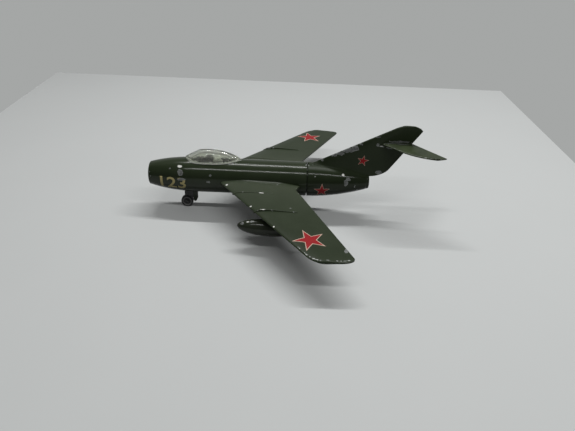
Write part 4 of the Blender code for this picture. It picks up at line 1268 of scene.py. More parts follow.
    def wings(self, name: str, extra: float = 0.0) -> Item:
        """Lofts both wings through the body, with their root fillets.

        Args:
            name: Name of the new object.
            extra: Added thickness of a clearance tool.

        Returns:
            The closed solid.
        """
        root = self.body.seam_radius + self.fillet
        tip = self.half_span - max(self.tip_front[0], self.tip_rear[0])
        corner, vertex = self.notch[0][0], self.notch[1][0]
        outs = spread(self.body.seam_radius - self.fillet / 2, root, 26)
        outs += spread(root, vertex, 5)[1:] + spread(vertex, corner, 7)[1:] + spread(corner, tip, 30)[1:]
        outs += crowded(tip, self.half_span - self.tip_round, 20)
        outs += crowded(self.half_span - self.tip_round, self.half_span, 6)
        rings = []
        for side in Side:
            half = []
            for out in outs:
                section = self.blade.ring(
                    self.leading_at(out),
                    self.trailing_at(out),
                    lambda share, station, face: self.offset(share, station, face, out, extra),
                    extra,
                )
                middle = self.height_at(out)
                half.append([(self.body.x(s), side.value * out, middle + z) for s, z in section])
            rings += half[::-1] if side is Side.LEFT else half
        return loft(name, rings)

    def fence(self, side: Side, out: float, height: float) -> Item:
        """One low wall along the wing, with a rounded crest.

        Args:
            side: Side that it stands on.
            out: Distance out.
            height: Height at its front.

        Returns:
            The closed solid.
        """
        front = self.leading_at(out)
        foot = self.height_at(out) - self.fence_foot
        nose = self.body.x(front - self.fence_nose)
        outline = [(nose, foot), (nose, self.height_at(out) + self.fence_chin)]
        for share in spread(0.03, 0.97, 26):
            station = front + self.fence_length * share
            grown = min(1.0, share / 0.1) * (1.0 - self.fence_taper * share)
            outline.append((self.body.x(station), self.surface(station, out, 1.0) + height * grown))
        end = front + self.fence_length
        tail = self.surface(end, out, 1.0) - self.fence_foot
        outline += [(self.body.x(end), tail), (self.body.x(end), foot)]
        half = self.fence_thickness / 2
        wall = prism("fence", outline, side.value * out - half, side.value * out + half, True)
        return rounded(wall, self.fence_round)

    def outside(self) -> Item:
        """Turned front body with its nose lip and blind intake.

        Returns:
            The closed solid.
        """
        profile = self.body.front_outside()
        lip = self.body.lip
        centre = self.body.at(lip) - lip
        for turn in spread(0.0, pi, 20)[1:]:
            profile.append((centre + lip * cos(turn), lip - lip * sin(turn)))
        for station in spread(lip, self.intake_depth, 12)[1:]:
            share = (station - lip) / (self.intake_depth - lip)
            profile.append((centre - lip + (self.intake_end - centre + lip) * share, station))
        profile.append((0.0, self.intake_depth))
        return turned("painted_forward_casting", profile, self.body.origin, Axis.X, self.body.facets)

    def slot_outline(self, front: float, rear: float, half: float) -> Profile:
        """Plan outline of a slot with round ends.

        Args:
            front: Station of its front end.
            rear: Station of its rear end.
            half: Half its width.

        Returns:
            The outline.
        """
        outline = []
        for centre, start in ((rear - half, -pi / 2), (front + half, pi / 2)):
            for turn in spread(start, start + pi, 25):
                outline.append((self.body.x(centre) + half * cos(turn), half * sin(turn)))
        return outline

    def pad_height(self) -> float:
        """Height of the flat pad on the belly plate."""
        return self.body.axis_height - self.body.radius + self.belly_pad

    def rivet_stations(self) -> Pair:
        """Stations of the two belly rivets."""
        return (self.belly[0] + self.rivet_margin, self.belly[1] - self.rivet_margin)

    def openings(self) -> list[Item]:
        """Tools for the cockpit well, the belly plate's seat, the tail's socket and the seam notch.

        Returns:
            The solids to take out.
        """
        body, axis = self.body, self.body.axis_height
        seat = self.pad_height() + self.belly_thickness + FIT_GAP
        well = self.slot_outline(*self.well)
        front, rear, half = self.belly
        mouth = self.slot_outline(front - FIT_GAP, rear + FIT_GAP, half + FIT_GAP)
        tools = [prism("well", well, axis + self.well_floor, axis + 2 * body.radius)]
        tools.append(prism("mouth", mouth, axis - 2 * body.radius, seat))
        radius, depth = self.post_hole
        for station in self.rivet_stations():
            low = (body.x(station), 0.0, seat - SINK)
            high = (body.x(station), 0.0, seat + depth + FIT_GAP)
            tools.append(rod("post_hole", radius + FIT_GAP, low, high))
        bore = body.spigot_radius + FIT_GAP
        end = body.seam - body.spigot_length - FIT_GAP
        socket = [(0.0, body.seam + SINK), (bore, body.seam + SINK), (bore, end), (0.0, end)]
        tools.append(turned("socket", socket, body.origin, Axis.X, 96))
        return tools + [body.notch()]

    def build(self) -> Item:
        """Builds the casting without its paint.

        Returns:
            The closed casting with its wear marked.
        """
        casting = self.outside()
        combine(casting, self.wings("wings"), Cut.JOIN)
        for out, height in self.fences:
            for side in Side:
                combine(casting, self.fence(side, out, height), Cut.JOIN)
        thickness, setback = self.splitter
        half = self.body.at(setback) - self.body.lip
        axis = self.body.axis_height
        front, rear = self.body.x(setback), self.body.x(self.intake_depth + SINK)
        plan = [(front, axis - half), (rear, axis - half), (rear, axis + half), (front, axis + half)]
        web = prism("splitter", plan, -thickness / 2, thickness / 2, True)
        combine(casting, rounded(web, 0.25 * MM), Cut.JOIN)
        for tool in self.openings():
            combine(casting, tool, Cut.REMOVE)
        mark(casting, wear=self.wear, matte=self.matte, dust=self.dust)
        return casting

    def matte(self, places: Array) -> Array:
        """How dull the paint is, which also sets its painted lightness: 0 on the body's sides (painted
        shade), more on its back and 1 on the wings (painted highlight).
        """
        wing = np.clip((self.body.clear(places) - self.dull_ramp[0]) / self.dull_ramp[1], 0.0, 1.0)
        return np.maximum(wing, self.body.back(places, 0.2))

    def dust(self, places: Array) -> Array:
        """How much paler colour is mixed in: dusty wing roots at 1, falling to 0 half-way out, and a painted
        highlight along the back.

        Args:
            places: Points of the mesh.

        Returns:
            A value for each point.
        """
        out = np.abs(places[:, 1])
        root, full, fade = self.dust_ramp
        wing = np.clip((out - self.body.radius) / root, 0.0, 1.0)
        wing *= np.clip(1.0 - (out - full) / fade, 0.0, 1.0) ** 2
        # Painted highlight: the body's back is paled where light from above falls.
        return np.maximum(wing, self.body.back(places, 0.3))

    def worn_edge(self) -> Array:
        """Outline of one wing, each point with how far inside it the paint is rubbed, and how much.

        Returns:
            Rows of station, distance out, inset and wear.
        """
        tip = self.half_span - self.tip_rear[0]
        start = self.wear_start
        front_inset, end_inset = self.wear_insets
        front, front_far = self.front_wear
        rear, rear_far, rear_turn = self.rear_wear
        rows = []
        for out in spread(self.body.radius, tip, 120) + crowded(tip, self.half_span, 40):
            far = max(0.0, (out - start * self.half_span) / ((1.0 - start) * self.half_span))
            inset = front_inset * min(1.0, 3.0 * far)
            rows.append((self.leading_at(out), out, inset, front + front_far * min(1.0, 2.0 * far)))
            turn = min(1.0, 3.0 * rounding((out - tip) / self.tip_rear[0]))
            most = rear + rear_far * far + rear_turn * turn
            rows.append((self.trailing_at(out), out, end_inset * turn, most))
        ends = spread(self.leading_at(self.half_span), self.trailing_at(self.half_span), 30)
        return np.array(rows + [(station, self.half_span, end_inset, self.end_wear) for station in ends])

    def wear(self, places: Array) -> Array:
        """How far the paint is rubbed at each point.

        Args:
            places: Points of the mesh.

        Returns:
            Values from 0 to 1.
        """
        worn = np.zeros(len(places))
        edge = self.worn_edge()
        crest, tall, aft = self.fence_wear
        lip_end, lip_fade, lip_most = self.lip_wear
        seam_fade, seam_most = self.seam_wear
        for k, (x, y, z) in enumerate(places):
            out = abs(y)
            station = x + self.body.half_length
            if out > self.body.radius + self.fillet:
                front = station - self.leading_at(min(out, self.half_span))
                distance = np.hypot(edge[:, 0] - station, edge[:, 1] - out)
                near = int(distance.argmin())
                inset, most = edge[near, 2:]
                worn[k] = most * exp(-(((distance[near] - inset) / self.wear_width) ** 2))
                for fence_out, height in self.fences:
                    if abs(out - fence_out) < self.fence_thickness and z - self.height_at(out) > 0.0:
                        proud = z - self.surface(max(station, self.leading_at(out) + 0.2 * MM), out, 1.0)
                        most = crest + tall * height / MM - aft * front / self.fence_length
                        worn[k] = max(worn[k], min(most, proud / (0.25 * MM)))
            else:
                lip = exp(-max(station - lip_end, 0.0) / lip_fade) * lip_most
                seam = exp(-abs(self.body.seam - station) / seam_fade) * seam_most
                worn[k] = max(lip, seam)
        return worn


@dataclass
class TailCasting:
    """Rear fuselage with its fin and exhaust, and the tailplane in the fin's slot."""

    body: BodyForm
    blade: BladeForm = field(default_factory=BladeForm)
    fin_top: float = 36.8 * MM
    seam_margin: float = 1.4 * MM
    leading_sweep: float = radians(62.8)
    top_chord: float = 8.8 * MM
    trailing_sweep: float = radians(33.5)
    root_thickness: float = 2.0 * MM
    tip_thickness: float = 1.2 * MM
    fillet: float = 1.6 * MM
    fillet_share: float = 0.94
    tip_front: Pair = (1.2 * MM, 0.16)
    tip_rear: Pair = (1.8 * MM, 0.625)
    tip_round: float = 0.30 * MM
    sweep_up: Pair = (3.1 * MM, 5.2 * MM)
    nozzle_wall: float = 0.5 * MM
    nozzle_depth: float = 8.0 * MM
    nozzle_rim: float = 1.0 * MM
    groove: Pair = (0.12 * MM, 0.24 * MM)
    seam_depth: float = 0.9 * MM
    plane_drop: float = 7.0 * MM
    plane_skew: float = radians(7.5)
    plane_half_span: float = 14.0 * MM
    plane_chord: float = 10.85 * MM
    plane_leading_sweep: float = radians(35.8)
    plane_inset: float = 0.14 * MM
    plane_trailing_sweep: float = radians(32.9)
    plane_thickness: Pair = (1.2 * MM, 0.8 * MM)
    plane_front: Pair = (7.0 * MM, 0.71)
    plane_rear: Pair = (0.5 * MM, 0.16)
    plane_round: float = 0.25 * MM
    front_wear: Pair = (0.40 * MM, 0.66)
    rear_wear: Pair = (0.25 * MM, 0.35)
    seam_wear: Pair = (0.15 * MM, 0.36)
    rim_wear: Pair = (0.30 * MM, 0.5)
    plane_wear_width: float = 0.35 * MM
    plane_rear_wear: Pair = (0.20 * MM, 0.35)

    def front_line(self, height: float) -> float:
        """Station of the fin's straight leading edge at a height."""
        rise = height - self.body.axis_height - self.body.seam_radius
        return self.body.seam + self.seam_margin + rise * tan(self.leading_sweep)

    def leading_at(self, height: float) -> float:
        """Station of the fin's leading edge at a height."""
        span, share = self.tip_front
        edge = max(self.front_line(height), self.body.seam + self.body.seam_gap + SINK)
        return edge + share * self.top_chord * rounding((height - self.fin_top + span) / span)

    def foot(self) -> float:
        """Height of the fin's hidden foot over the exhaust."""
        return self.body.axis_height + self.body.nozzle_radius - self.nozzle_wall / 2

    def trailing_at(self, height: float) -> float:
        """Station of the fin's trailing edge.

        Args:
            height: Height on the fin.

        Returns:
            The station.
        """
        span, share = self.tip_rear
        up, setback = self.sweep_up
        edge = self.front_line(self.fin_top) + self.top_chord
        edge -= (self.fin_top - height) * tan(self.trailing_sweep)
        rise = max(0.0, (height - self.fin_top + span) / span)
        edge -= share * self.top_chord * (0.45 * rise + 0.55 * rounding(rise))
        return edge - setback * rounding((self.foot() + up - height) / up)

    def fin_offset(self, share: float, station: float, side: float, height: float) -> float:
        """Offset of a face of the fin from the middle plane.

        Args:
            share: Share of the chord.
            station: Station of the point.
            side: 1 or -1, for the face.
            height: Height of the point.

        Returns:
            The signed offset.
        """
        rise = max(0.0, (height - self.body.axis_height) / (self.fin_top - self.body.axis_height))
        form = self.blade.form(share)
        half = (self.root_thickness + (self.tip_thickness - self.root_thickness) * rise) / 2 * form
        half *= 1.0 - 0.7 * rounding((height - self.fin_top + self.tip_round) / self.tip_round)
        fillet = self.body.fillet(height - self.body.axis_height, half, station, self.fillet)
        fillet *= self.fillet_share * min(1.0, form / self.blade.edge) * (1.0 - share)
        return side * (half + fillet)

    def fin(self) -> Item:
        """Lofts the fin from its foot in the rear body to its rounded tip.

        Returns:
            The closed solid.
        """
        top = self.body.axis_height + self.body.seam_radius
        tip = self.fin_top - max(self.tip_front[0], self.tip_rear[0])
        heights = spread(self.foot(), top, 28) + spread(top, top + self.fillet, 14)[1:]
        heights += spread(top + self.fillet, tip, 22)[1:]
        heights += crowded(tip, self.fin_top - self.tip_round, 16)
        heights += crowded(self.fin_top - self.tip_round, self.fin_top, 6)
        rings = []
        for height in heights:
            section = self.blade.ring(
                self.leading_at(height),
                self.trailing_at(height),
                lambda share, station, side: self.fin_offset(share, station, side, height),
            )
            rings.append([(self.body.x(s), y, height) for s, y in section])
        return loft("fin", rings)

    def outside(self) -> Item:
        """Turned rear body: exhaust bore, rim, groove, outside and spigot.

        Returns:
            The closed solid.
        """
        body = self.body
        bore = body.nozzle_radius - self.nozzle_wall
        middle = (bore + body.nozzle_radius) / 2
        profile = [(0.0, body.nozzle - self.nozzle_depth), (bore, body.nozzle - self.nozzle_depth)]
        for turn in spread(-pi / 2, pi / 2, 9):
            along = body.nozzle - 0.15 * MM * (1.0 - cos(turn))
            profile.append((middle + self.nozzle_wall / 2 * sin(turn), along))
        ring = body.nozzle - self.nozzle_rim
        depth, half = self.groove
        for place in spread(-1.0, 1.0, 9):
            station = ring - place * half
            profile.append((body.at(station) - depth * cos(place * pi / 2), station))
        shoulder = body.seam + body.seam_gap
        profile += [(body.at(s), s) for s in spread(ring - 2 * half, shoulder + 2 * body.seam_round, 40)]
        for turn in spread(0.0, pi / 2, 6):
            along = shoulder + body.seam_round * (1.0 - sin(turn))
            profile.append((body.at(shoulder) - body.seam_round * (1.0 - cos(turn)), along))
        collar = body.seam_radius - self.seam_depth
        face = body.seam + FIT_GAP
        end = body.seam - body.spigot_length
        profile += [(collar, shoulder), (collar, face), (body.spigot_radius, face)]
        profile += [(body.spigot_radius, end), (0.0, end)]
        return turned("painted_tail_casting", profile, body.origin, Axis.X, body.facets)

    def plane_height(self) -> float:
        """Height of the tailplane's middle surface."""
        return self.fin_top - self.plane_drop

    def plane_rear_line(self, out: float) -> float:
        """Station of the tailplane's straight trailing edge."""
        root = self.trailing_at(self.plane_height()) - self.plane_inset
        return root + out * tan(self.plane_trailing_sweep)

    def plane_front_line(self, out: float) -> float:
        """Station of the tailplane's straight leading edge."""
        return self.plane_rear_line(0.0) - self.plane_chord + out * tan(self.plane_leading_sweep)

    def plane_tip_chord(self) -> float:
        """Chord between the tailplane's straight edges at its tip."""
        return self.plane_rear_line(self.plane_half_span) - self.plane_front_line(self.plane_half_span)

    def plane_leading(self, out: float) -> float:
        """Station of the tailplane's leading edge at a distance out."""
        span, share = self.plane_front
        setback = share * self.plane_tip_chord()
        return self.plane_front_line(out) + setback * rounding((out - self.plane_half_span + span) / span)

    def plane_trailing(self, out: float) -> float:
        """Station of the tailplane's trailing edge at a distance out."""
        span, share = self.plane_rear
        corner = max(0.0, (out - self.plane_half_span + span) / span)
        return self.plane_rear_line(out) - share * self.plane_tip_chord() * corner

    def plane_pivot(self) -> float:
        """Station that the tailplane is skewed about."""
        return (self.plane_leading(0.0) + self.plane_trailing(0.0)) / 2

    def plane(self, name: str, gap: float = 0.0, reach: float = 0.0) -> Item:
        """Lofts the tailplane, or with a gap and a reach the tool for its slot.

        Args:
            name: Name of the new object.
            gap: Clearance round the blade.
            reach: How far the tool runs on aft.

        Returns:
            The closed solid.
        """
        corner = self.plane_half_span - self.plane_rear[0]
        outs = spread(0.0, self.plane_half_span - self.plane_front[0], 14)
        outs += spread(outs[-1], corner, 22)[1:] + crowded(corner, self.plane_half_span, 6)
        pivot = self.plane_pivot()
        cosine, sine = cos(self.plane_skew), sin(self.plane_skew)
        root, tip = self.plane_thickness
        rings = []
        for y in [-out for out in outs[:0:-1]] + outs:
            out = abs(y)
            thickness = root + (tip - root) * out / self.plane_half_span
            end = 1.0 - 0.6 * rounding((out - self.plane_half_span + self.plane_round) / self.plane_round)
            half = thickness / 2 * end
            section = self.blade.ring(
                self.plane_leading(out) - gap,
                self.plane_trailing(out) + reach,
                lambda share, station, side: side * (half * self.blade.form(share) + gap),
            )
            ring = []
            for station, z in section:
                aft = station - pivot
                x = self.body.x(pivot + aft * cosine - y * sine)
                ring.append((x, aft * sine + y * cosine, self.plane_height() + z))
            rings.append(ring)
        return loft(name, rings)

    def build(self) -> tuple[Item, Item]:
        """Builds the rear casting and the tailplane.

        Returns:
            Both closed solids with their wear marked.
        """
        casting = self.outside()
        combine(casting, self.fin(), Cut.JOIN)
        combine(casting, self.plane("slot", FIT_GAP, self.root_thickness), Cut.REMOVE)
        combine(casting, self.body.notch(), Cut.REMOVE)
        mark(casting, wear=self.wear, matte=self.matte)
        plane = self.plane("painted_tailplane")
        mark(plane, wear=self.plane_wear, matte=lambda places: np.ones(len(places)))
        return casting, plane

    def matte(self, places: Array) -> Array:
        """How dull the paint is, which also sets its painted lightness: 0 on the body's sides (painted
        shade), more on its back and on the fin (painted highlight).
        """
        rise = places[:, 2] - self.body.axis_height - self.body.seam_radius
        return np.maximum(0.8 * np.clip(rise / (0.8 * MM), 0.0, 1.0), self.body.back(places, 1.0))

    def wear(self, places: Array) -> Array:
        """How far the casting's paint is rubbed at each point.

        Args:
            places: Points of the mesh.

        Returns:
            Values from 0 to 1.
        """
        worn = np.zeros(len(places))
        for k, (x, _, z) in enumerate(places):
            station = x + self.body.half_length
            if z > self.body.axis_height + self.body.seam_radius + 0.3 * MM:
                height = min(z, self.fin_top)
                first = max(station - self.leading_at(height), 0.0), self.front_wear
                second = max(self.trailing_at(height) - station, 0.0), self.rear_wear
            else:
                first = abs(station - self.body.seam - self.body.seam_gap), self.seam_wear
                second = abs(self.body.nozzle - station), self.rim_wear
            worn[k] = max(exp(-away / fade) * most for away, (fade, most) in (first, second))
        return worn

    def plane_wear(self, places: Array) -> Array:
        """How far the tailplane's paint is rubbed at each point.

        Args:
            places: Points of the mesh.

        Returns:
            Values from 0 to 1.
        """
        cosine, sine = cos(self.plane_skew), sin(self.plane_skew)
        pivot = self.plane_pivot()
        fade, most = self.plane_rear_wear
        worn = np.zeros(len(places))
        for k, (x, y, _) in enumerate(places):
            aft = x + self.body.half_length - pivot
            station = pivot + aft * cosine + y * sine
            out = min(abs(y * cosine - aft * sine), self.plane_half_span)
            inside = station - self.plane_leading(out) - self.plane_wear_width
            front = exp(-((inside / self.plane_wear_width) ** 2))
            front *= 0.40 + 0.40 * out / self.plane_half_span
            rear = exp(-max(self.plane_trailing(out) - station, 0.0) / fade) * most
            worn[k] = max(front, rear)
        return worn


@dataclass
class Canopy:
    """Thick clear dome over the cockpit."""

    body: BodyForm
    front: float = 13.7 * MM
    peak: float = 22.5 * MM
    rear: float = 34.6 * MM
    rise: float = 3.85 * MM
    half_width: float = 3.2 * MM
    wall: Pair = (0.55 * MM, 1.25 * MM)
    end_wall: float = 1.6 * MM
    end_trim: float = 0.1 * MM
    side_powers: Pair = (5.0, 2.8)
    windscreen: Pair = (1.36, 1.11)
    crown_fall: float = 0.5
    rear_powers: Pair = (1.8, 0.65)
    foot: float = 2.0 * MM
    rim_ramp: Pair = (0.12 * MM, 0.22 * MM)
    rings: int = 28
    arc_points: int = 49

    def ring(self, station: float, inset: Pair) -> list[Point]:
        """Section of the dome with a flat foot inside the body.

        Args:
            station: Where it is cut.
            inset: Distance inside the outer face, at the sides and at the crown.

        Returns:
            The closed ring.
        """
        ahead = station < self.peak
        run = self.peak - self.front if ahead else self.rear - self.peak
        share = abs(station - self.peak) / run
        index = 0 if ahead else 1
        radius = self.body.at(station)
        half = self.half_width * (1.0 - share ** self.side_powers[index]) - inset[0]
        if ahead:
            height, slope = self.windscreen
            crown = min(height - slope * share, 1.0 - self.crown_fall * share**2)
        else:
            power, fullness = self.rear_powers
            crown = (1.0 - share**power) ** fullness
        top = radius + self.rise * crown - inset[1]
        edge = sqrt(max(0.0, radius**2 - half**2)) - inset[1]
        axis = self.body.axis_height
        low = axis + self.foot - inset[1]
        arc = []
        for turn in spread(0.0, pi, self.arc_points):
            arc.append((half * cos(turn), axis + edge + (top - edge) * sin(turn)))
        return [(self.body.x(station), y, z) for y, z in [(half, low), *arc, (-half, low)]]

    def dome(self, name: str, inset: Pair, margin: float) -> Item:
        """Lofts the outer or inner face of the dome.

        Args:
            name: Name of the new object.
            inset: Distance inside the outer face, at the sides and at the crown.
            margin: Distance inside the dome's ends.

        Returns:
            The closed solid.
        """
        turns = spread(0.0, pi / 2, self.rings)
        ahead = self.peak - self.front - margin
        behind = self.rear - self.peak - margin
        stations = [self.peak - ahead * cos(turn) for turn in turns]
        stations += [self.peak + behind * sin(turn) for turn in turns[1:]]
        return loft(name, [self.ring(station, inset) for station in stations])

    def build(self) -> Item:
        """Builds the hollow dome, seated on the body.

        Returns:
            The closed solid.
        """
        dome = self.dome("clear_canopy", (0.0, 0.0), self.end_trim)
        combine(dome, self.dome("inside", self.wall, self.end_wall), Cut.REMOVE)
        skin = [(radius + FIT_GAP if radius else 0.0, along) for radius, along in self.body.front_outside()]
        skin.append((0.0, self.body.lip))
        seat = turned("canopy_seat", skin, self.body.origin, Axis.X, self.body.facets)
        combine(dome, seat, Cut.REMOVE)
        mark(dome, rim=self.rim)
        return dome

    def rim(self, places: Array) -> Array:
        """How near each point lies to the dome's foot on the body."""
        return np.exp(-np.maximum(self.body.clear(places) - self.rim_ramp[0], 0.0) / self.rim_ramp[1])


@dataclass
class BellyPlate:
    """Plate that closes the casting from below, and its rivets."""

    casting: ForwardCasting
    rivet_radius: float = 0.8 * MM
    rivet_grip: float = 3.0 * MM
    head_radius: float = 1.5 * MM
    head: float = 0.5 * MM
    tail_grip: float = 4.0 * MM

    def rivet(self, name: str, station: float, head_top: float, grip: float) -> Item:
        """One round-headed rivet that points up.

        Args:
            name: Name of the new piece.
            station: Where it stands.
            head_top: Height of its head's upper face.
            grip: Length of its shank.

        Returns:
            The closed solid.
        """
        profile = [(0.0, grip), (self.rivet_radius, grip), (self.rivet_radius, 0.0), (self.head_radius, 0.0)]
        for turn in spread(0.0, pi / 2, 10)[1:-1]:
            profile.append((self.head_radius * cos(turn), -self.head * sin(turn)))
        profile.append((0.0, -self.head))
        place = (self.casting.body.x(station), 0.0, head_top)
        return turned(name, profile, place, Axis.Z, 48)

    def build(self) -> list[Item]:
        """Builds the plate, its two rivets and the tail's rivet.

        Returns:
            The plate first, then the rivets.
        """
        casting, body = self.casting, self.casting.body
        pad = casting.pad_height()
        top = pad + casting.belly_thickness
        low = body.axis_height - body.radius - SINK
        plate = prism("zinc_belly_plate", casting.slot_outline(*casting.belly), low, top)
        skin = [*body.front_outside(), (0.0, body.lip)]
        combine(plate, turned("skin", skin, body.origin, Axis.X, body.facets), Cut.KEEP)
        x0, x1 = body.x(casting.belly[0]) - SINK, body.x(casting.belly[1]) + SINK
        around = [(x0, -body.radius), (x1, -body.radius), (x1, body.radius), (x0, body.radius)]
        combine(plate, prism("pad", around, low - SINK, pad), Cut.REMOVE)
        recess = self.head + 2 * FIT_GAP
        grip = casting.belly_thickness - recess + FIT_GAP + self.rivet_grip
        made = [plate]
        for label, station in zip(("front", "rear"), casting.rivet_stations()):
            x = body.x(station)
            for radius, end in ((self.rivet_radius, top + SINK), (self.head_radius, pad + recess)):
                hole = rod("hole", radius + FIT_GAP, (x, 0.0, pad - SINK), (x, 0.0, end), 48)
                combine(plate, hole, Cut.REMOVE)
            made.append(self.rivet(f"zinc_belly_rivet_{label}", station, pad + recess - FIT_GAP, grip))
        station = body.seam - body.spigot_length / 2
        under = body.axis_height - body.at(station) - FIT_GAP
        made.append(self.rivet("zinc_tail_rivet", station, under, self.tail_grip))
        return made


@dataclass
class Wheel:
    """Tyre and hub that turn together on a headed axle."""

    kind: str
    suffix: str
    centre: Point
    outward: float
    radius: float
    width: float
    tyre_depth: float = 0.5 * MM
    dish: float = 0.3 * MM
    boss: float = 0.85 * MM
    axle: float = 0.5 * MM
    axle_head: Pair = (0.75 * MM, 0.35 * MM)
    arm: float = 1.3 * MM
    chamfer: float = 0.05 * MM
    ease: float = 0.04 * MM
    worn_rim: Pair = (0.15 * MM, 0.9)
    cad_facets: int = 24
    steps: int = 72

    def tread(self) -> float:
        """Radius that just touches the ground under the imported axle."""
        return self.radius * cos(pi / self.cad_facets)

    def tyre(self) -> Item:
        """Tyre with round shoulders and two shallow grooves in its tread.

        Returns:
            The closed solid.
        """
        radius, half = self.tread(), self.width / 2
        shoulder = self.tyre_depth / 2
        ring = [(self.radius - self.tyre_depth, half - self.chamfer)]
        for turn in spread(pi / 2, 0.0, 8):
            across = half - shoulder + shoulder * sin(turn)
            ring.append((radius - shoulder + shoulder * cos(turn), across))
        for place in (0.3, -0.3):
            for step, depth in ((0.07, 0.0), (0.03, 0.06), (-0.03, 0.06), (-0.07, 0.0)):
                ring.append((radius - depth * MM, (place + step) * (self.width - 2 * shoulder)))
        for turn in spread(0.0, pi / 2, 8):
            across = half - shoulder + shoulder * sin(turn)
            ring.append((radius - shoulder + shoulder * cos(turn), -across))
        ring.append((self.radius - self.tyre_depth, -half + self.chamfer))
        ring.append(ring[0])
        return self.turn(f"rubber_{self.kind}_tyre{self.suffix}", ring)

    def hub(self) -> Item:
        """Dished hub with a raised rim and a boss round its bore.

        Returns:
            The closed solid.
        """
        half = self.width / 2
        rim = self.radius - self.tyre_depth - FIT_GAP
        face = rim - 0.7 * self.tyre_depth
        floor = half - self.dish
        outer = [
            (self.axle + FIT_GAP, half - self.chamfer),
            (self.axle + FIT_GAP + self.chamfer, half),
            (self.boss - self.chamfer, half),
            (self.boss, half - self.chamfer),
            (self.boss + self.dish * 0.35, floor + self.ease),
            (self.boss + self.dish * 0.55, floor),
            (face - self.dish * 0.55, floor),
            (face - self.dish * 0.35, floor + self.ease),
            (face, half - self.ease),
            (face + self.chamfer, half),
            (rim - self.chamfer, half),
            (rim, half - self.chamfer),
        ]
        ring = outer + [(place, -along) for place, along in outer[::-1]]
        hub = self.turn(f"plastic_{self.kind}_hub{self.suffix}", [*ring, ring[0]])
        inside, most = self.worn_rim
        # Painted highlight: a paler ring on the hub's rim face, stored under the worn attribute.
        mark(hub, worn=lambda p: np.where(self.distance(p) > face - inside, most, 0.0))
        return hub

    def distance(self, places: Array) -> Array:
        """Distance of each point from the axle line."""
        return np.hypot(places[:, 0] - self.centre[0], places[:, 2] - self.centre[2])

    def pin(self) -> Item:
        """Headed axle, fixed in the arm beside the wheel.

        Returns:
            The closed solid.
        """
        head_radius, head = self.axle_head
        face = self.width / 2 + SEAT_GAP
        end = -face - self.arm
        profile = [(0.0, face + head)]
        for turn in spread(0.2, pi / 2, 8):
            profile.append((head_radius * sin(turn), face + head * (0.35 + 0.65 * cos(turn))))
        profile += [(head_radius, face), (self.axle, face), (self.axle, end), (0.0, end)]
        return self.turn(f"steel_{self.kind}_axle{self.suffix}", profile)

    def turn(self, name: str, profile: Profile) -> Item:
        """Turns one of the wheel's profiles about the axle line, outer end first."""
        sided = [(radius, along * self.outward) for radius, along in profile]
        return turned(name, sided, self.centre, Axis.Y, self.steps)


@dataclass
class DropTank:
    """Tank, pylon and peg moulded together under one wing."""

    casting: ForwardCasting
    side: Side
    out: float = 26.0 * MM
    lead: float = 6.35 * MM
    length: float = 25.0 * MM
    radius: float = 2.95 * MM
    crest: float = 0.4
    tail_power: float = 2.2
    drop: float = 5.75 * MM
    pitch: float = radians(3.0)
    pylon: tuple[float, float, float] = (8.0 * MM, 10.0 * MM, 1.1 * MM)
    peg_radius: float = 0.55 * MM
    peg_grip: float = 0.65 * MM
    pylon_round: float = 0.3 * MM
    nose_wear: Pair = (0.8 * MM, 0.55)

    def nose(self) -> float:
        """Station of the tank's nose."""
        return self.casting.leading_at(self.out) - self.lead

    def peg_station(self) -> float:
        """Station of the peg, at the middle of the pylon."""
        return self.nose() + self.pylon[0] + self.pylon[1] / 2

    def profile(self) -> Profile:
        """Turned outline: a blunt round nose and a longer tapered tail.

        Returns:
            Points (radius, place) from the tail to the nose.
        """
        points = [(0.0, self.length)]
        for turn in spread(0.0, pi / 2, 26)[1:]:
            station = self.length * (self.crest + (1.0 - self.crest) * cos(turn))
            share = (station / self.length - self.crest) / (1.0 - self.crest)
            points.append((self.radius * (1.0 - share**self.tail_power), station))
        for turn in spread(0.0, pi / 2, 20)[1:]:
            points.append((self.radius * cos(turn), self.length * self.crest * (1.0 - sin(turn))))
        points[-1] = (0.0, 0.0)
        return points

    def build(self) -> Item:
        """Builds the tank with its pylon and peg, clear of the wing.

        Returns:
            The closed solid with its wear marked.
        """
        body = self.casting.body
        y = self.side.value * self.out
        middle = self.casting.height_at(self.out)
        height = middle - self.drop
        name = f"painted_drop_tank_{self.side.label}"
        tank = turned(name, self.profile(), (body.x(self.nose()), y, height), Axis.X, 80)
        pivot = Matrix.Translation((body.x(self.peg_station()), y, height))
        tank.data.transform(pivot @ Matrix.Rotation(self.pitch, 4, "Y") @ pivot.inverted())
        lead, length, thickness = self.pylon
        front = self.nose() + lead
        rear = front + length
        outline = [(body.x(front + thickness), height), (body.x(rear - thickness), height)]
        outline += [(body.x(rear), middle), (body.x(front), middle)]
        web = prism("pylon", outline, y - thickness / 2, y + thickness / 2, True)
        combine(tank, rounded(web, self.pylon_round), Cut.JOIN)
        combine(tank, self.casting.wings("clearance", SEAT_GAP), Cut.REMOVE)
        x = body.x(self.peg_station())
        under = self.casting.surface(self.peg_station(), self.out, -1.0)
        peg = rod("peg", self.peg_radius, (x, y, height), (x, y, under + self.peg_grip))
        combine(tank, peg, Cut.JOIN)
        nose = body.x(self.nose())
        fade, most = self.nose_wear
        mark(tank, wear=lambda p: most * np.exp(-np.maximum(p[:, 0] - nose, 0.0) / fade))
        return tank


@dataclass(frozen=True)
class Spot:
    """Where a marking lies: a middle off the skin, the figure's X and Y, its casting and its size."""

    centre: Point
    across: Point
    up: Point
    target: str
    size: float


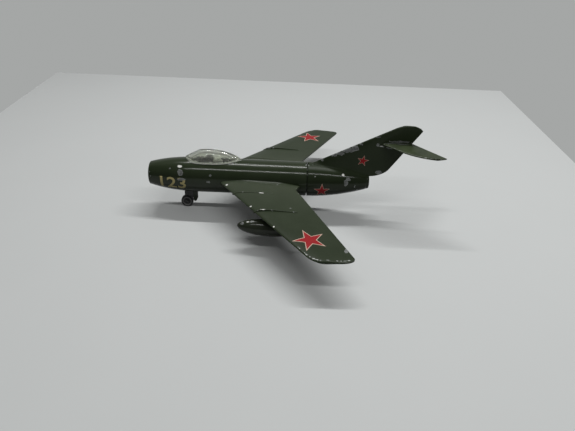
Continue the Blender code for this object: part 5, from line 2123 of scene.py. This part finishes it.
@dataclass
class Markings:
    """Stars and numbers printed on the castings."""

    targets: dict[str, Item]
    waist: float = 0.385
    field_share: float = 0.86
    wing_turn: float = radians(7.0)
    fin_turn: float = radians(10.3)
    sunk: float = 0.03 * MM
    edge_proud: float = 0.02 * MM
    field_proud: float = 0.035 * MM
    wing_star: Point = (6.65 * MM, 7.4 * MM, 40.75 * MM)
    fin_star: Pair = (26.22 * MM, 22.72 * MM)
    flank_star: Pair = (11.5 * MM, 12.25 * MM)
    star_sizes: Point = (5.65 * MM, 2.3 * MM, 3.15 * MM)
    over_wing: float = 18 * MM
    beside_fin: float = 6 * MM
    beside_body: float = 12 * MM
    number: str = "123"
    number_place: Pair = (-43.75 * MM, 13.1 * MM)
    number_height: float = 4.6 * MM
    number_width: float = 9.6 * MM
    laying: NodeTree = field(default_factory=laying_tree)
    star: NodeTree = field(default_factory=star_tree)

    def stars(self) -> list[Spot]:
        """Places of the six stars.

        Returns:
            Both wings', both fin sides' and both flanks' places.
        """
        wing_cos, wing_sin = cos(self.wing_turn), sin(self.wing_turn)
        fin_cos, fin_sin = cos(self.fin_turn), sin(self.fin_turn)
        *wing_stations, out = self.wing_star
        wing_size, fin_size, flank_size = self.star_sizes
        spots = []
        for side, x in zip(Side, wing_stations):
            y = side.value
            across, up = (-wing_cos, y * wing_sin, 0), (-y * wing_sin, -wing_cos, 0)
            spots.append(Spot((x, y * out, self.over_wing), across, up, "front", wing_size))
            place = (self.fin_star[0], y * self.beside_fin, self.fin_star[1])
            across, up = (fin_sin, 0, fin_cos), (y * fin_cos, 0, -y * fin_sin)
            spots.append(Spot(place, across, up, "tail", fin_size))
            place = (self.flank_star[0], y * self.beside_body, self.flank_star[1])
            spots.append(Spot(place, (0, 0, 1), (y, 0, 0), "tail", flank_size))
        return spots

    def lay(self, item: Item, spot: Spot, proud: float, detail: int, finish: Finish) -> None:
        """Adds the laying tree to a flat figure.

        Args:
            item: The figure.
            spot: Where it lies.
            proud: Height over the paint below.
            detail: How often its faces are split.
            finish: Material of the print.
        """
        drive(
            item,
            self.laying,
            target=self.targets[spot.target],
            centre=spot.centre,
            across=spot.across,
            up=spot.up,
            detail=detail,
            sunk=self.sunk,
            proud=proud,
            finish=finish,
        )

    def joined(self, name: str, items: Sequence[Item]) -> Item:
        """Joins finished figures into one piece.

        Args:
            name: Name of the piece.
            items: The figures, which are dropped.

        Returns:
            The piece.
        """
        bm = bmesh.new()
        for item in items:
            bm.from_mesh(item.data)
            drop(item)
        return solid(name, bm)

    def star_layer(self, name: str, share: float, proud: float, finish: Finish) -> Item:
        """One layer of every star.

        Args:
            name: Name of the piece.
            share: Size of the layer as a share of the star.
            proud: Height over the paint below.
            finish: Material of the layer.

        Returns:
            The piece.
        """
        items = []
        for spot in self.stars():
            item = placed("star", bpy.data.meshes.new("star"))
            drive(item, self.star, radius=spot.size * share, waist=self.waist, finish=finish)
            self.lay(item, spot, proud, 4, finish)
            items.append(settle(item))
        return self.joined(name, items)

    def numbers(self, name: str, finish: Finish) -> Item:
        """Number on both sides of the nose.

        Args:
            name: Name of the piece.
            finish: Material of the print.

        Returns:
            The piece.
        """
        items = []
        for side in Side:
            y = side.value
            place = (self.number_place[0], y * self.beside_body, self.number_place[1])
            spot = Spot(place, (-y, 0, 0), (0, 0, 1), "front", self.number_height)
            item = placed("number", self.flat_number(spot.size))
            self.lay(item, spot, self.edge_proud, 3, finish)
            items.append(settle(item))
        return self.joined(name, items)

    def flat_number(self, height: float) -> bpy.types.Mesh:
        """Flat mesh of the number, centred, at the set width.

        Args:
            height: Height of its figures.

        Returns:
            The mesh.
        """
        letters = bpy.data.curves.new("number", "FONT")
        letters.body = self.number
        letters.space_character = 1.0
        letters.offset = 0.012
        letters.resolution_u = 6
        item = bpy.data.objects.new("number_letters", letters)
        bpy.context.scene.collection.objects.link(item)
        bpy.context.view_layer.update()
        shaped = item.evaluated_get(bpy.context.evaluated_depsgraph_get())
        mesh = bpy.data.meshes.new_from_object(shaped)
        bpy.data.objects.remove(item, do_unlink=True)
        places = np.array([v.co for v in mesh.vertices])
        low, high = places.min(0), places.max(0)
        wide, tall = self.number_width / (high[0] - low[0]), height / (high[1] - low[1])
        centred = Matrix.Translation(-Vector((low + high) / 2))
        mesh.transform(Matrix.Diagonal((wide, tall, 1.0, 1.0)) @ centred)
        bm = bmesh.new()
        bm.from_mesh(mesh)
        bmesh.ops.remove_doubles(bm, verts=bm.verts, dist=1e-6)
        bm.to_mesh(mesh)
        bm.free()
        return mesh


@dataclass
class Studio:
    """Pale sheet, soft light and the camera at the photograph's place."""

    focal: float = 32.269
    sensor: float = 36.0
    camera_place: Point = (-0.000116, -0.174105, 0.104471)
    yaw: float = -0.0039187
    pitch: float = 0.5519694
    roll: float = 0.0404403
    floor_sides: Pair = (-0.159, 0.137)
    floor_ends: Pair = (-0.60, 0.165)
    floor_colour: Colour = (0.545, 0.56, 0.555)
    wall: Colour = (0.375, 0.385, 0.380)
    front_share: float = 0.25
    fill: float = 0.21
    bounce: float = 0.3
    open_front: Pair = (-0.2, 0.3)
    open_roof: Pair = (0.5, 0.75)
    strips: tuple[tuple[str, float, float], ...] = (("front_strip", 62.0, 0.53), ("rear_strip", 108.0, 1.27))
    strip_size: Pair = (0.42, 0.011)
    strip_reach: float = 0.40
    strip_offset: float = 0.06
    aim: float = 0.014

    def camera(self) -> None:
        """Makes the camera with the photograph's view."""
        lens = bpy.data.cameras.new("photo_camera")
        lens.lens = self.focal
        lens.sensor_width = self.sensor
        lens.sensor_fit = "HORIZONTAL"
        lens.clip_start = 0.005
        lens.dof.use_dof = False
        camera = bpy.data.objects.new("photo_camera", lens)
        turn = Matrix.Rotation(-self.yaw, 4, "Z") @ Matrix.Rotation(pi / 2 - self.pitch, 4, "X")
        turn = turn @ Matrix.Rotation(self.roll, 4, "Z")
        camera.matrix_world = Matrix.Translation(self.camera_place) @ turn
        bpy.context.scene.collection.objects.link(camera)
        bpy.context.scene.camera = camera

    def floor(self) -> None:
        """Lays the pale sheet that the airplane stands on."""
        (x0, x1), (y0, y1) = self.floor_sides, self.floor_ends
        mesh = bpy.data.meshes.new("pale_sheet")
        mesh.from_pydata([(x0, y0, 0), (x1, y0, 0), (x1, y1, 0), (x0, y1, 0)], [], [(0, 1, 2, 3)])
        sheet = placed("pale_sheet", mesh)
        graph = Graph("pale_paper")
        mottle = graph.noise(35 * MM, 3.0)
        dark = tuple(part * 0.97 for part in self.floor_colour)
        dim = tuple(part * self.bounce for part in self.floor_colour)
        lit = graph.node("LightPath").outputs["Is Diffuse Ray"]
        seen = graph.mix(lit, graph.mix(mottle, dark, self.floor_colour), dim)
        graph.plain(Base_Color=seen, Roughness=0.8, Specular_IOR_Level=0.15)
        graph.bump(graph.noise(0.6 * MM, 4.0), 0.02 * MM, 0.4)
        mesh.materials.append(graph.material)
        sheet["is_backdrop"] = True

    def world(self) -> None:
        """Grey wall for the camera, an open-fronted tent for gloss and glass, and an even fill light."""
        world = bpy.data.worlds.new("light_tent")
        bpy.context.scene.world = world
        world.use_nodes = True
        net = Network(world.node_tree)
        net.tree.nodes.clear()
        towards = net.node("SeparateXYZ", net.node("TexCoord").outputs["Generated"]).outputs
        behind = net.result("MapRange", towards[1], *self.open_front, self.front_share, 1.0)
        roof = net.result("MapRange", towards[2], *self.open_roof, 1.0, self.front_share)
        path = net.node("LightPath").outputs
        wall = (*self.wall, 1.0)
        fill = net.result("Background", (1.0, 1.0, 1.0, 1.0), self.fill)
        plain = net.result("MixShader", path["Is Camera Ray"], fill, net.result("Background", wall, 1.0))
        tent = net.result("Background", wall, net.math("MINIMUM", behind, roof))
        gloss = net.math("MAXIMUM", path["Is Glossy Ray"], path["Is Transmission Ray"])
        net.node("OutputWorld", net.result("MixShader", gloss, plain, tent))

    def lamp(self, name: str, height: float, power: float) -> None:
        """Hangs a strip lamp that faces the airplane.

        Args:
            name: Name of the lamp.
            height: Its angle over the floor on the camera's side, in degrees.
            power: Its power in watts.
        """
        light = bpy.data.lights.new(name, "AREA")
        light.shape = "RECTANGLE"
        light.size, light.size_y = self.strip_size
        light.energy = power
        lamp = bpy.data.objects.new(name, light)
        centre = Matrix.Translation((self.strip_offset, 0.0, self.aim))
        turn = Matrix.Rotation(radians(90.0 - height), 4, "X")
        lamp.matrix_world = centre @ turn @ Matrix.Translation((0.0, 0.0, self.strip_reach))
        bpy.context.scene.collection.objects.link(lamp)

    def build(self) -> None:
        """Sets up the whole studio."""
        self.camera()
        self.floor()
        self.world()
        for strip in self.strips:
            self.lamp(*strip)
        bpy.context.scene.view_settings.view_transform = "Standard"


def chips(*rows: Sequence[float]) -> tuple[Chip, ...]:
    """Makes chips from rows of three places and three half sizes, in millimetres."""
    return tuple(Chip(tuple(row[:3]), tuple(row[3:])) for row in rows)


NUMBER_CHIP = (-40.4, -6.3, 14.85, 1.6, 1.2, 0.5)
FRONT_GREY = chips(
    (-40.8, -5.4, 17.25, 1.0, 1.5, 1.05),
    NUMBER_CHIP,
    (-44.8, -4.3, 18.2, 0.42, 0.6, 0.32),
    (-29.8, -6.05, 16.6, 0.4, 0.7, 0.5),
    (-30.5, -6.5, 14.3, 0.7, 0.7, 0.28),
    (5.3, -1.2, 20.2, 0.25, 0.5, 0.4),
    (0.2, -23.1, 14.4, 0.35, 0.3, 0.5),
    (-4.9, -7.8, 15.0, 0.3, 0.25, 0.4),
    (17.8, -45.2, 13.2, 0.5, 1.0, 0.5),
    (-52.6, -3.9, 16.2, 0.12, 0.4, 0.3),
    (-52.5, -4.4, 14.6, 0.12, 0.4, 0.4),
)
FRONT_BRIGHT = chips(
    (-41.2, -3.95, 18.95, 0.85, 0.75, 0.4),
    (-23.3, -8.9, 14.7, 0.4, 0.4, 0.5),
    (-10.3, -14.35, 15.0, 0.85, 0.16, 0.6),
    (-13.4, -22.5, 14.0, 0.32, 0.3, 0.6),
    (-5.0, -33.9, 13.5, 0.3, 0.32, 0.5),
    (-9.4, -25.3, 15.0, 1.3, 0.20, 0.25),
)
TAIL_GREY = chips(
    (23.0, -0.5, 27.6, 1.25, 2.0, 1.05),
    (21.3, -0.5, 26.75, 1.5, 2.0, 0.7),
    (19.5, -0.5, 26.3, 1.5, 2.0, 0.5),
    (17.5, -0.4, 25.2, 1.6, 2.0, 0.55),
    (15.6, -0.3, 24.35, 1.0, 2.0, 0.42),
    (11.2, -0.2, 22.3, 0.7, 2.0, 0.35),
    (24.9, -0.2, 29.3, 0.7, 1.0, 0.25),
    (30.9, 0.0, 32.2, 0.6, 1.0, 0.22),
    (32.6, -0.4, 18.05, 1.25, 1.0, 0.75),
    (38.4, -0.5, 30.75, 4.0, 0.5, 0.35),
    (20.4, -4.7, 15.3, 0.85, 1.2, 1.1),
    (21.1, -4.1, 16.5, 1.0, 1.0, 0.45),
    (23.9, -4.1, 13.9, 0.26, 0.8, 0.5),
    (25.0, -3.1, 11.8, 0.35, 0.8, 0.32),
    (6.2, -1.4, 20.1, 0.2, 0.5, 0.5),
    (32.4, -0.65, 28.8, 0.9, 1.0, 0.25),
    (31.0, -0.65, 29.3, 0.6, 1.0, 0.45),
    (35.4, -0.5, 28.2, 1.2, 1.0, 0.18),
)
TAIL_BRIGHT = chips(
    (19.2, -3.3, 17.9, 0.5, 0.6, 0.45),
    (32.3, -0.65, 28.85, 0.4, 0.9, 0.12),
)
TAILPLANE_BEAD = chips((37.2, -1.25, 30.3, 4.6, 0.28, 0.6))
TUB_BLOCKS = ((-35.5, -33.0, 1.4, 21.4), (-32.2, -29.5, 1.65, 22.0), (-26.6, -23.7, 1.2, 21.2))
TUB_FLOOR = 18.6
SEAT_DECK = (-29.2, -25.6, 2.0, 18.2, 21.1)
WEB_ARC = 2.65 * MM
WEB_REAR = 2.85 * MM
WEB_TOP = 7.5 * MM


def build_castings(body: BodyForm) -> tuple[ForwardCasting, dict[str, Item]]:
    """Builds and paints the two castings, the tailplane and the tanks.

    Args:
        body: Outline of the fuselage.

    Returns:
        The forward casting's form and the casting objects by place.
    """
    forward = ForwardCasting(body)
    front = forward.build()
    tail, plane = TailCasting(body).build()
    green = "green_enamel"
    finish = Enamel("enamel_forward", FRONT_GREY, FRONT_BRIGHT, edge_wear=0.55)
    hand_over(front, finish.build(), green, "forward_casting")
    # The tail's lower lightness pair is painted shade: the whole rear casting is darker, its sides most.
    looks = {"edge_wear": 0.6, "tone": (0.72, 0.90), "sheen": (0.18, 0.13)}
    finish = Enamel("enamel_tail", TAIL_GREY, TAIL_BRIGHT, **looks)
    hand_over(tail, finish.build(), green, "tail_casting")
    # Painted highlight: the tailplane's green is lighter than the castings' green, as its flat top is lit.
    looks = {"edge_wear": 0.75, "colour": (0.044, 0.058, 0.028), "shade": (0.018, 0.026, 0.011)}
    finish = Enamel("enamel_tailplane", TAILPLANE_BEAD, **looks)
    hand_over(plane, finish.build(), green, "tailplane")
    looks = {"edge_wear": 0.5, "colour": (0.034, 0.040, 0.026), "shade": (0.025, 0.030, 0.018)}
    for side in Side:
        y = side.value * 26.7
        grey = chips((-12.6, y, 10.8, 0.7, 0.5, 0.5), (-16.1, y, 9.9, 0.55, 0.6, 0.8))
        bright = chips((-14.1, y, 10.6, 0.45, 0.25, 0.35))
        finish = Enamel(f"enamel_tank_{side.label}", grey, bright, **looks)
        tank = DropTank(forward, side).build()
        hand_over(tank, finish.build(), "green_plastic", f"drop_tank_{side.label}")
    return forward, {"front": front, "tail": tail}


def build_markings(targets: dict[str, Item]) -> None:
    """Prints the stars and the number on the castings.

    Args:
        targets: The casting objects by place.
    """
    markings = Markings(targets)
    pale = MarkingPaint("pale_edge_print", (0.55, 0.40, 0.32), (0.40, 0.25, 0.19)).build()
    red = MarkingPaint("red_star_print", (0.29, 0.010, 0.013), (0.24, 0.010, 0.012)).build()
    worn = chips(NUMBER_CHIP)
    cream = MarkingPaint("cream_number_print", (0.46, 0.40, 0.19), (0.30, 0.26, 0.12), worn).build()
    layers = (
        markings.star_layer("star_edges", 1.0, markings.edge_proud, pale),
        markings.star_layer("star_fields", markings.field_share, markings.field_proud, red),
        markings.numbers("nose_numbers", cream),
    )
    for item, finish in zip(layers, (pale, red, cream)):
        hand_over(item, finish, "green_enamel", smooth=False)


def cockpit_block(front: float, rear: float, half: float, low: float, high: float) -> Item:
    """Rounded block across the cockpit, with its sizes in millimetres.

    Args:
        front: X of its front face.
        rear: X of its rear face.
        half: Half its width.
        low: Height of its foot.
        high: Height of its top.

    Returns:
        The closed solid.
    """
    plan = [(front, -half), (rear, -half), (rear, half), (front, half)]
    block = prism("block", [(x * MM, y * MM) for x, y in plan], low * MM, high * MM)
    return rounded(block, 0.45 * MM, 4)


def build_cockpit(body: BodyForm, nodes: dict[str, Item], dark: Finish) -> None:
    """Builds the canopy, the tub and the seat.

    Args:
        body: Outline of the fuselage.
        nodes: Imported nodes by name.
        dark: Material of the tub.
    """
    hand_over(Canopy(body).build(), ClearPlastic().build(), "clear_plastic", "canopy")
    tub = moulded("plastic_cockpit_tub", nodes["cockpit_tub"], 0.07 * MM, 2)
    for front, rear, half, top in TUB_BLOCKS:
        combine(tub, cockpit_block(front, rear, half, TUB_FLOOR, top), Cut.JOIN)
    hand_over(tub, dark, "dark_plastic", "cockpit_tub")
    pale = Moulding("pale_plastic", (0.70, 0.71, 0.66), (0.42, 0.42, 0.39)).build()
    seat = moulded("plastic_pilot_seat", nodes["pilot_seat"], 0.06 * MM, 3)
    combine(seat, cockpit_block(*SEAT_DECK), Cut.JOIN)
    hand_over(seat, pale, "pale_plastic", "pilot_seat")


def nose_web(wheel: Point) -> Item:
    """Broad top of the nose leg, which clears the wheel with an arc.

    Args:
        wheel: Middle of the nose wheel.

    Returns:
        The closed solid.
    """
    x, y, z = wheel
    arc = [(x + WEB_ARC * cos(a), z + WEB_ARC * sin(a)) for a in spread(0.7, 1.85, 12)]
    rear = x + WEB_REAR
    outline = [*arc, (arc[-1][0], WEB_TOP), (rear, WEB_TOP), (rear, arc[0][1])]
    return rounded(prism("web", outline, y - 0.8 * MM, y + 0.9 * MM, True), 0.2 * MM)


def build_gear(frame: dict, dark: Finish) -> None:
    """Builds the legs, the nose door and the three wheels on their axles.

    Args:
        frame: The loaded frame.
        dark: Material of the legs.
    """
    nodes = frame["nodes"]
    places = {joint["child"]: tuple(joint["pos_m"]) for joint in frame["joints"]}
    for name in ("nose_leg", "main_leg_left", "main_leg_right"):
        leg = moulded(f"plastic_{name}", nodes[name], 0.06 * MM, 3)
        if name == "nose_leg":
            combine(leg, nose_web(places[Body.NOSE_WHEEL.value]), Cut.JOIN)
        hand_over(leg, dark, "dark_plastic", name)
    door = moulded("painted_nose_door", nodes["nose_door"], 0.05 * MM, 3)
    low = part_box("nose_door")[0]
    mark(door, wear=lambda p: 0.8 * np.exp(-np.maximum(p[:, 2] - low.z, 0.0) / (0.6 * MM)))
    hand_over(door, Enamel("enamel_door", edge_wear=0.5).build(), "green_enamel", "nose_door")
    rubber = Moulding("black_rubber", (0.013, 0.013, 0.013), (0.06, 0.06, 0.058), (0.5, 0.75)).build()
    grey = Moulding("grey_plastic", (0.030, 0.031, 0.031), (0.20, 0.20, 0.195), (0.3, 0.5), 0.12).build()
    steel = BareMetal("dull_steel", (0.10, 0.10, 0.10), (0.05, 0.05, 0.05)).build()
    small, large = (2.35 * MM, 1.6 * MM), (3.2 * MM, 2.2 * MM)
    wheels = (
        (Body.NOSE_WHEEL, "nose", "", -1.0, small),
        (Body.LEFT_WHEEL, "main", "_left", -1.0, large),
        (Body.RIGHT_WHEEL, "main", "_right", 1.0, large),
    )
    for body, kind, suffix, outward, (radius, width) in wheels:
        wheel = Wheel(kind, suffix, places[body.value], outward, radius, width)
        hand_over(wheel.tyre(), rubber, "black_tyre", f"{kind}_tyre{suffix}", body=body)
        hand_over(wheel.hub(), grey, "grey_plastic", f"{kind}_hub{suffix}", body=body)
        hand_over(wheel.pin(), steel, "bare_steel", f"{kind}_axle{suffix}")


def build_belly(forward: ForwardCasting) -> None:
    """Builds the belly plate and the three rivets.

    Args:
        forward: Form of the casting that they close.
    """
    zinc = BareMetal("bare_zinc", (0.46, 0.46, 0.45), (0.27, 0.27, 0.27)).build()
    nodes = ("belly_plate", "belly_rivet_front", "belly_rivet_rear", "tail_rivet")
    for item, node in zip(BellyPlate(forward).build(), nodes):
        hand_over(item, zinc, "bare_zinc", node)


def main() -> None:
    logging.basicConfig(level=logging.INFO, format="%(name)s: %(message)s")
    for item in list(bpy.data.objects):
        bpy.data.objects.remove(item, do_unlink=True)
    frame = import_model()
    solid_box = [list(corner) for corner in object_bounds()]
    body = BodyForm(half_length=(solid_box[1][0] - solid_box[0][0]) / 2)
    Studio().build()
    dark = Moulding("dark_plastic", (0.020, 0.021, 0.020), (0.09, 0.09, 0.085)).build()
    forward, castings = build_castings(body)
    build_markings(castings)
    build_cockpit(body, frame["nodes"], dark)
    build_gear(frame, dark)
    build_belly(forward)


if __name__ == "__main__":
    main()
